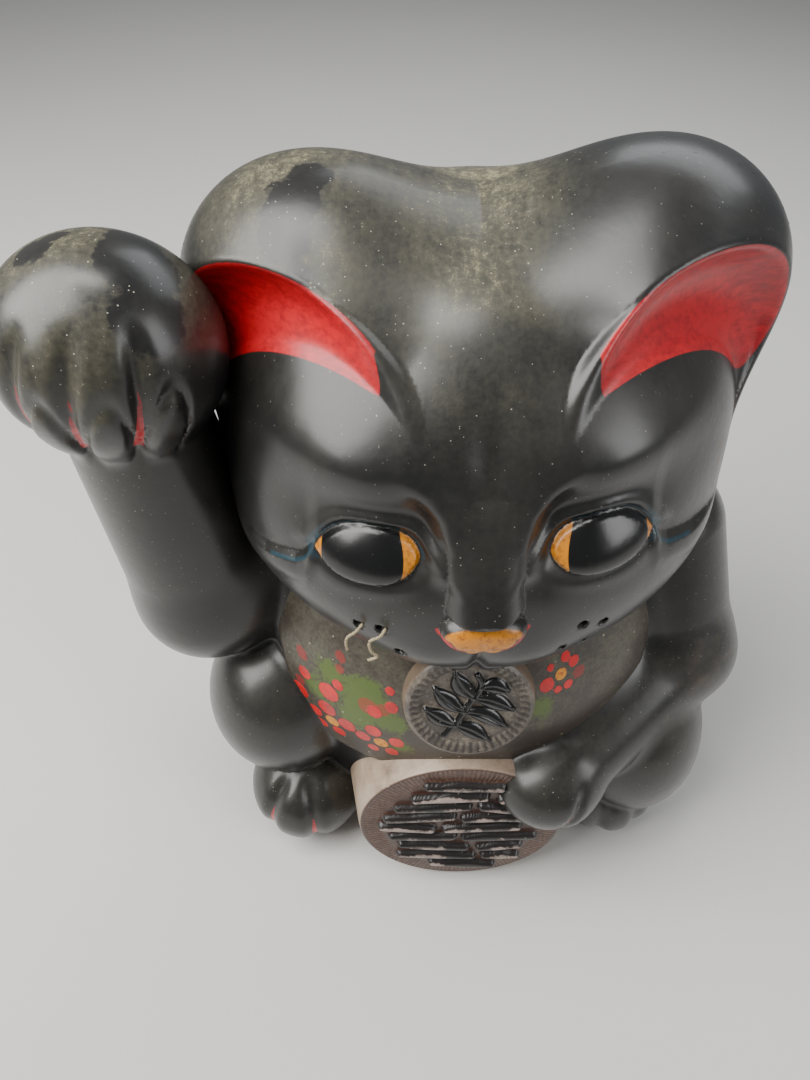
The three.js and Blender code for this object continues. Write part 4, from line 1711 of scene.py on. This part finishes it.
@dataclass
class MedallionFace:
    """The medallion's raised work: a curling sprig of leaves inside a ribbed border."""

    STEM: ClassVar[Route] = [(-11.0, -17.0), (-5.0, -8.0), (0.0, 2.0), (5.0, 12.0), (3.0, 18.5)]
    LEAVES: ClassVar[list[Route]] = [
        [(-6.0, -10.0), (-13.0, -7.0), (-20.0, -1.0)],
        [(-2.0, -2.0), (-9.0, 2.5), (-16.0, 11.0)],
        [(2.0, 6.0), (-4.0, 12.0), (-7.0, 19.5)],
        [(-6.0, -10.0), (1.0, -13.5), (9.0, -19.0)],
        [(-2.0, -2.0), (7.0, -4.5), (17.0, -11.0)],
        [(2.0, 6.0), (10.0, 4.0), (20.0, -1.0)],
        [(5.0, 12.0), (11.0, 12.5), (17.0, 10.0)],
    ]

    half: float = 28.5
    ribs: int = 46
    rib_height: float = 0.7
    leaf_height: float = 3.0
    stem_half_width: float = 1.7
    border: float = 0.8

    def relief(self, x: Array, z: Array) -> tuple[Array, dict[str, Array]]:
        """Gives the face's height at each place.

        Args:
            x: Places across the face.
            z: Places up the face.

        Returns:
            The height, and numbers for the glaze to read.
        """
        far = np.hypot(x, z) / self.half
        near, _ = along_path(x, z, smooth_path(self.STEM))
        height = 0.9 * half_round(near, self.stem_half_width)
        for leaf in self.LEAVES:
            near, share = along_path(x, z, smooth_path(leaf))
            half_width = 0.8 + 4.1 * np.sin(math.pi * np.clip(share, 0.05, 0.97)) ** 0.8
            vein = 0.25 * bump(near, 0.55) * (share > 0.05)
            height = np.maximum(height, half_round(near, half_width) - vein)
        rib = 0.5 + 0.5 * np.cos(np.arctan2(x, z) * self.ribs)
        band = step(far - self.border, 0.08) * step(0.97 - far, 0.04)
        lip = bump((far - 0.965) * self.half, 1.1)
        dish = -1.2 * step(self.border - far, 0.1)
        raised = self.leaf_height * height + self.rib_height * rib * band + 0.9 * lip + dish
        return raised, {"bar": height, "hatch": band, "rib": rib}


@dataclass
class Bib:
    """The painted bib: a thin slip of clay over the chest and belly."""

    OUTLINE: ClassVar[Route] = [
        (0.0, 86.0), (-26.0, 87.0), (-40.0, 88.5), (-55.0, 89.5), (-68.0, 92.0), (-77.0, 98.0),
        (-84.5, 108.0), (-88.5, 122.0), (-91.5, 138.0), (-93.5, 152.0), (-92.0, 172.0), (-84.0, 190.0),
    ]
    PETALS: ClassVar[list[Triple]] = [
        (-79.2, 138.3, 2.7), (-83.0, 123.0, 3.9), (-66.9, 135.5, 4.2), (-62.0, 143.4, 2.4),
        (-35.9, 142.1, 2.8), (-44.2, 136.0, 3.2), (-36.5, 151.5, 2.0), (-68.6, 122.4, 3.9),
        (-75.4, 113.6, 3.2), (-58.6, 116.4, 3.8), (-63.2, 105.4, 3.0), (-72.6, 104.5, 2.9),
        (-45.2, 120.6, 3.5), (-50.6, 112.2, 3.3), (-33.8, 115.9, 3.3), (-45.6, 103.4, 2.6),
        (-36.2, 105.0, 2.9), (36.5, 154.8, 3.0), (48.9, 162.4, 2.2), (47.2, 151.6, 2.0),
        (37.6, 163.0, 1.6), (42.2, 150.6, 1.7), (44.5, 166.0, 2.0),
    ]
    HEARTS: ClassVar[list[Triple]] = [(-66.4, 113.0, 3.1), (-41.5, 111.6, 3.2), (43.0, 158.3, 2.4)]
    FADED: ClassVar[list[Triple]] = [
        (-80.1, 148.5, 2.6), (-59.9, 159.4, 2.2), (-60.5, 153.0, 2.0), (-47.5, 138.5, 4.0),
        (52.0, 156.0, 2.6), (-82.0, 131.0, 2.2), (-40.0, 139.0, 3.0),
    ]
    MOSS: ClassVar[list[Triple]] = [
        (-73.7, 134.0, 9.0), (-49.6, 140.7, 10.0), (-53.9, 127.0, 10.0), (-35.2, 131.0, 9.0),
        (-46.6, 148.0, 9.0), (-31.5, 112.0, 9.0), (-66.0, 149.0, 7.0), (34.0, 142.0, 9.0),
    ]

    body: Body
    thickness: float = 2.4
    sunk: float = 1.2
    round_edge: float = 1.6

    def inside(self, points: Array) -> Array:
        """Measures how far points lie inside the bib's outline, seen from the front."""
        away, up = -np.abs(points[:, 0]), points[:, 2]
        path = smooth_path(self.OUTLINE, 3)
        near, _ = along_path(away, up, path)
        within = inside_outline(away, up, [*path, (1.0, path[-1][1]), (1.0, path[0][1])])
        return np.where(within, near, -near)

    def form(self, points: Array) -> Array:
        """Measures the distance to the slip."""
        under = self.body.parts(points)["torso"]
        middle = (self.thickness - self.sunk) / 2.0
        slip = np.abs(under - middle) - (self.thickness + self.sunk) / 2.0
        form = carved(slip, self.inside(points), self.round_edge)
        return np.maximum(form, points[:, 1])

    def build(self, finish: bpy.types.Material) -> bpy.types.Object:
        """Meshes the bib and stores its painting."""
        low, high = (-106.0, -108.0, 78.0), (106.0, 4.0, 198.0)
        sculptor = Sculptor(self.form, low, high, cell=1.5, seam=2.0)
        surface = sculptor.surface()
        normals = surface.outward[surface.faces.ravel()]
        piece = mesh_object("bib_painted", surface.points, surface.faces, normals)
        for key, values in self.paint(surface.points).items():
            paint_field(piece, key, values)
        piece.data.materials.append(finish)
        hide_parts("bib")
        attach(piece, FIGURE)
        log.info("%s: %d faces", piece.name, len(piece.data.polygons))
        return piece

    def paint(self, points: Array) -> dict[str, Array]:
        """Works out where the blossoms, moss and border lie."""
        x, z = points[:, 0], points[:, 2]

        def dabs(places: list[Triple]) -> Array:
            """Measures how far points lie inside the nearest dab."""
            inside = [size * 1.22 - np.hypot(x - a, (z - b) * 0.92) for a, b, size in places]
            return np.max(inside, axis=0)

        moss = sum(np.exp(-(((x - a) / s) ** 2) - ((z - b) / s) ** 2) for a, b, s in self.MOSS)
        return {
            "petal": dabs(self.PETALS),
            "heart": dabs(self.HEARTS),
            "faded": dabs(self.FADED),
            "moss": moss,
            "pale": np.clip((z - 110.0) / 50.0, 0.0, 1.0),
            "border": -self.inside(points),
        }


@dataclass
class WhiskerThread:
    """One stub of thread left in a whisker hole."""

    node: str
    root: Array
    course: list[Triple]
    radius: float = 0.62
    sides: int = 10
    lump: float = 0.14

    def build(self, finish: bpy.types.Material) -> bpy.types.Object:
        """Sweeps a round, slightly lumpy tube along the thread's course."""
        path = np.array(smooth_path(self.course, 8)) + self.root
        ahead = np.gradient(path, axis=0)
        ahead /= np.linalg.norm(ahead, axis=1, keepdims=True)
        side = np.cross(ahead, np.array([0.31, 0.2, 0.93]))
        side /= np.linalg.norm(side, axis=1, keepdims=True)
        over = np.cross(ahead, side)
        rings = []
        for i, place in enumerate(path):
            angle = np.arange(self.sides) * math.tau / self.sides + 0.5 * i
            width = self.radius * (1.0 + self.lump * np.cos(2.0 * (angle - 0.9 * i)))
            round_it = np.cos(angle)[:, None] * side[i] + np.sin(angle)[:, None] * over[i]
            rings.append(place + width[:, None] * round_it)
        points = np.concatenate([*rings, path[:1], path[-1:]])
        n, count = self.sides, len(path)
        faces = [
            (r * n + i, r * n + (i + 1) % n, (r + 1) * n + (i + 1) % n, (r + 1) * n + i)
            for r in range(count - 1)
            for i in range(n)
        ]
        faces += [(n * count, (i + 1) % n, i) for i in range(n)]
        faces += [(n * count + 1, (count - 1) * n + i, (count - 1) * n + (i + 1) % n) for i in range(n)]
        piece = mesh_object(f"{self.node}_twist", points, faces)
        piece.data.materials.append(finish)
        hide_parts(self.node)
        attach(piece, FIGURE)
        return piece


# ---------------------------------------------------------------- stage
@dataclass(frozen=True)
class PaleFloor:
    """Plain pale matt paper."""

    name: str = "pale_floor"
    light: Colour = (0.62, 0.61, 0.59)
    shade: Colour = (0.57, 0.56, 0.545)

    def build(self) -> bpy.types.Material:
        """Builds the material."""
        mix = Mixer(self.name)
        cloud = mix.noise(3.0, 4.0, 0.6)
        grain = mix.noise(700.0, 2.0, 0.5)
        mix.raised(grain, 0.0001)
        return mix.finished(mix.blend(cloud, self.light, self.shade), 0.85 + (grain - 0.5) * 0.1)


@dataclass(frozen=True)
class SoftLamp:
    """One large soft studio lamp."""

    name: str
    place: tuple[float, float, float]
    size: tuple[float, float]
    power: float
    tint: Colour = (1.0, 1.0, 1.0)

    def build(self, target: Vector) -> bpy.types.Object:
        """Hangs the lamp so that it faces the target."""
        light = bpy.data.lights.new(self.name, "AREA")
        light.shape = "RECTANGLE"
        light.size, light.size_y = self.size
        light.energy = self.power
        light.color = self.tint
        lamp = bpy.data.objects.new(self.name, light)
        lamp.location = self.place
        lamp.rotation_euler = (target - Vector(self.place)).to_track_quat("-Z", "Y").to_euler()
        bpy.context.scene.collection.objects.link(lamp)
        return lamp


@dataclass
class Studio:
    """The floor, the lamps and the camera."""

    half_floor: float = 4.0
    lens: float = 26.0
    tilt_down: float = 48.5
    camera_place: tuple[float, float, float] = (-0.0295, -0.2763, 0.471)
    air: Colour = (0.55, 0.57, 0.6)
    air_strength: float = 0.34
    lamps: tuple[SoftLamp, ...] = (
        SoftLamp("window_lamp", (-0.8, -0.2, 1.05), (0.9, 1.1), 30.0, (1.0, 0.99, 0.96)),
        SoftLamp("back_lamp", (0.5, 0.8, 1.1), (1.2, 0.6), 6.0, (0.95, 0.98, 1.0)),
        SoftLamp("roof_lamp", (-0.22, 0.04, 1.45), (0.26, 0.5), 6.0, (1.0, 0.99, 0.96)),
        SoftLamp("side_lamp", (0.9, -0.55, 0.75), (0.5, 0.8), 6.0),
    )

    def build(self) -> None:
        """Builds the floor, lamps, air light and camera."""
        half = self.half_floor / MM
        corners = [(-half, -half, 0.0), (half, -half, 0.0), (half, half, 0.0), (-half, half, 0.0)]
        floor = mesh_object("studio_floor", np.array(corners), [(0, 1, 2, 3)])
        floor.data.materials.append(PaleFloor().build())
        low, high = cad_box
        target = (low + high) / 2
        for lamp in self.lamps:
            lamp.build(target)
        world = bpy.data.worlds.new("studio_air")
        world.use_nodes = True
        back = world.node_tree.nodes["Background"]
        back.inputs["Color"].default_value = (*self.air, 1.0)
        back.inputs["Strength"].default_value = self.air_strength
        bpy.context.scene.world = world
        data = bpy.data.cameras.new("studio_camera")
        data.lens = self.lens
        data.clip_start, data.clip_end = 0.01, 50.0
        camera = bpy.data.objects.new("studio_camera", data)
        camera.location = self.camera_place
        camera.rotation_euler = (math.radians(90.0 - self.tilt_down), 0.0, 0.0)
        bpy.context.scene.collection.objects.link(camera)
        bpy.context.scene.camera = camera
        log.info("studio: floor, %d lamps and camera", len(self.lamps))


def node_box(node: str) -> tuple[Array, Array]:
    """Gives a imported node's lowest and highest corners in millimetres."""
    low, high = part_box(node)
    return np.array(low) / MM, np.array(high) / MM


THREAD_COURSES: dict[str, list[Triple]] = {
    "whisker_thread_1": [
        (2.0, 3.0, 0.5), (-1.0, -2.5, 1.8), (-4.0, -4.0, 0.6), (-5.0, -4.2, -3.0), (-4.8, -4.0, -8.5),
    ],
    "whisker_thread_2": [
        (2.0, 3.0, 0.5), (-0.5, -2.5, 2.0), (-4.5, -4.0, 0.8),
        (-4.2, -4.5, -5.0), (-2.0, -4.4, -9.0), (-5.5, -4.2, -12.0),
    ],
}


def build_coin() -> None:
    """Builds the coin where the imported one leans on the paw."""
    low, high = node_box("coin")
    middle = (low + high) / 2.0
    middle[1:] = low[1] + 7.0, middle[2] + 2.0
    coin = ReliefDisc(
        name="coin_cast",
        node="coin",
        slot="coin_brown",
        middle=middle,
        half=(52.5, 51.0),
        lean=-8.0,
        depth=34.0,
        flare=6.5,
        relief=CoinFace().relief,
        rings=64,
        spokes=420,
    )
    coin.build(CoinGlaze().build())


def build_medallion() -> None:
    """Builds the medallion on the bib."""
    low, high = node_box("medallion")
    middle = (low + high) / 2.0
    middle[1] = low[1] + 12.0
    medallion = ReliefDisc(
        name="medallion_cast",
        node="medallion",
        slot="medallion_clay",
        middle=middle,
        half=(28.5, 28.5),
        lean=-19.0,
        depth=14.0,
        flare=1.5,
        relief=MedallionFace().relief,
        rings=48,
        spokes=300,
    )
    medallion.build(MedallionGlaze().build())


def build_threads(head: Head) -> None:
    """Builds the stubs of thread, each from its own whisker hole."""
    thread = ThreadFibre().build()
    for (node, course), hole in zip(THREAD_COURSES.items(), head.WHISKER_HOLES):
        WhiskerThread(node, head.hole_mouth(hole), course).build(thread)
    log.info("whisker threads: %d", len(THREAD_COURSES))


def dress_base() -> None:
    """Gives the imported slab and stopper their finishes."""
    for node, finish in (("base_slab", BareClay()), ("base_plug", StopperRubber())):
        material = finish.build()
        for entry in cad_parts[node].material_slots:
            entry.material = material
        log.info("%s: %s", node, finish.name)


def main() -> None:
    """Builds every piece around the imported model."""
    logging.basicConfig(level=logging.INFO, format="%(message)s")
    glaze = BlackGlaze().build()
    back_low, back_high = node_box("head_back_shell")
    _, front_high = node_box("head_front_shell")
    seam = (back_low[1] + front_high[1]) / 2.0
    head = make_head(back_high)
    head_skin(head, seam).build(glaze)
    body = make_body()
    body_skin(body, seam).build(glaze)
    Bib(body).build(BibPaint().build())
    build_coin()
    build_medallion()
    build_threads(head)
    dress_base()
    Studio().build()


if __name__ == "__main__":
    main()
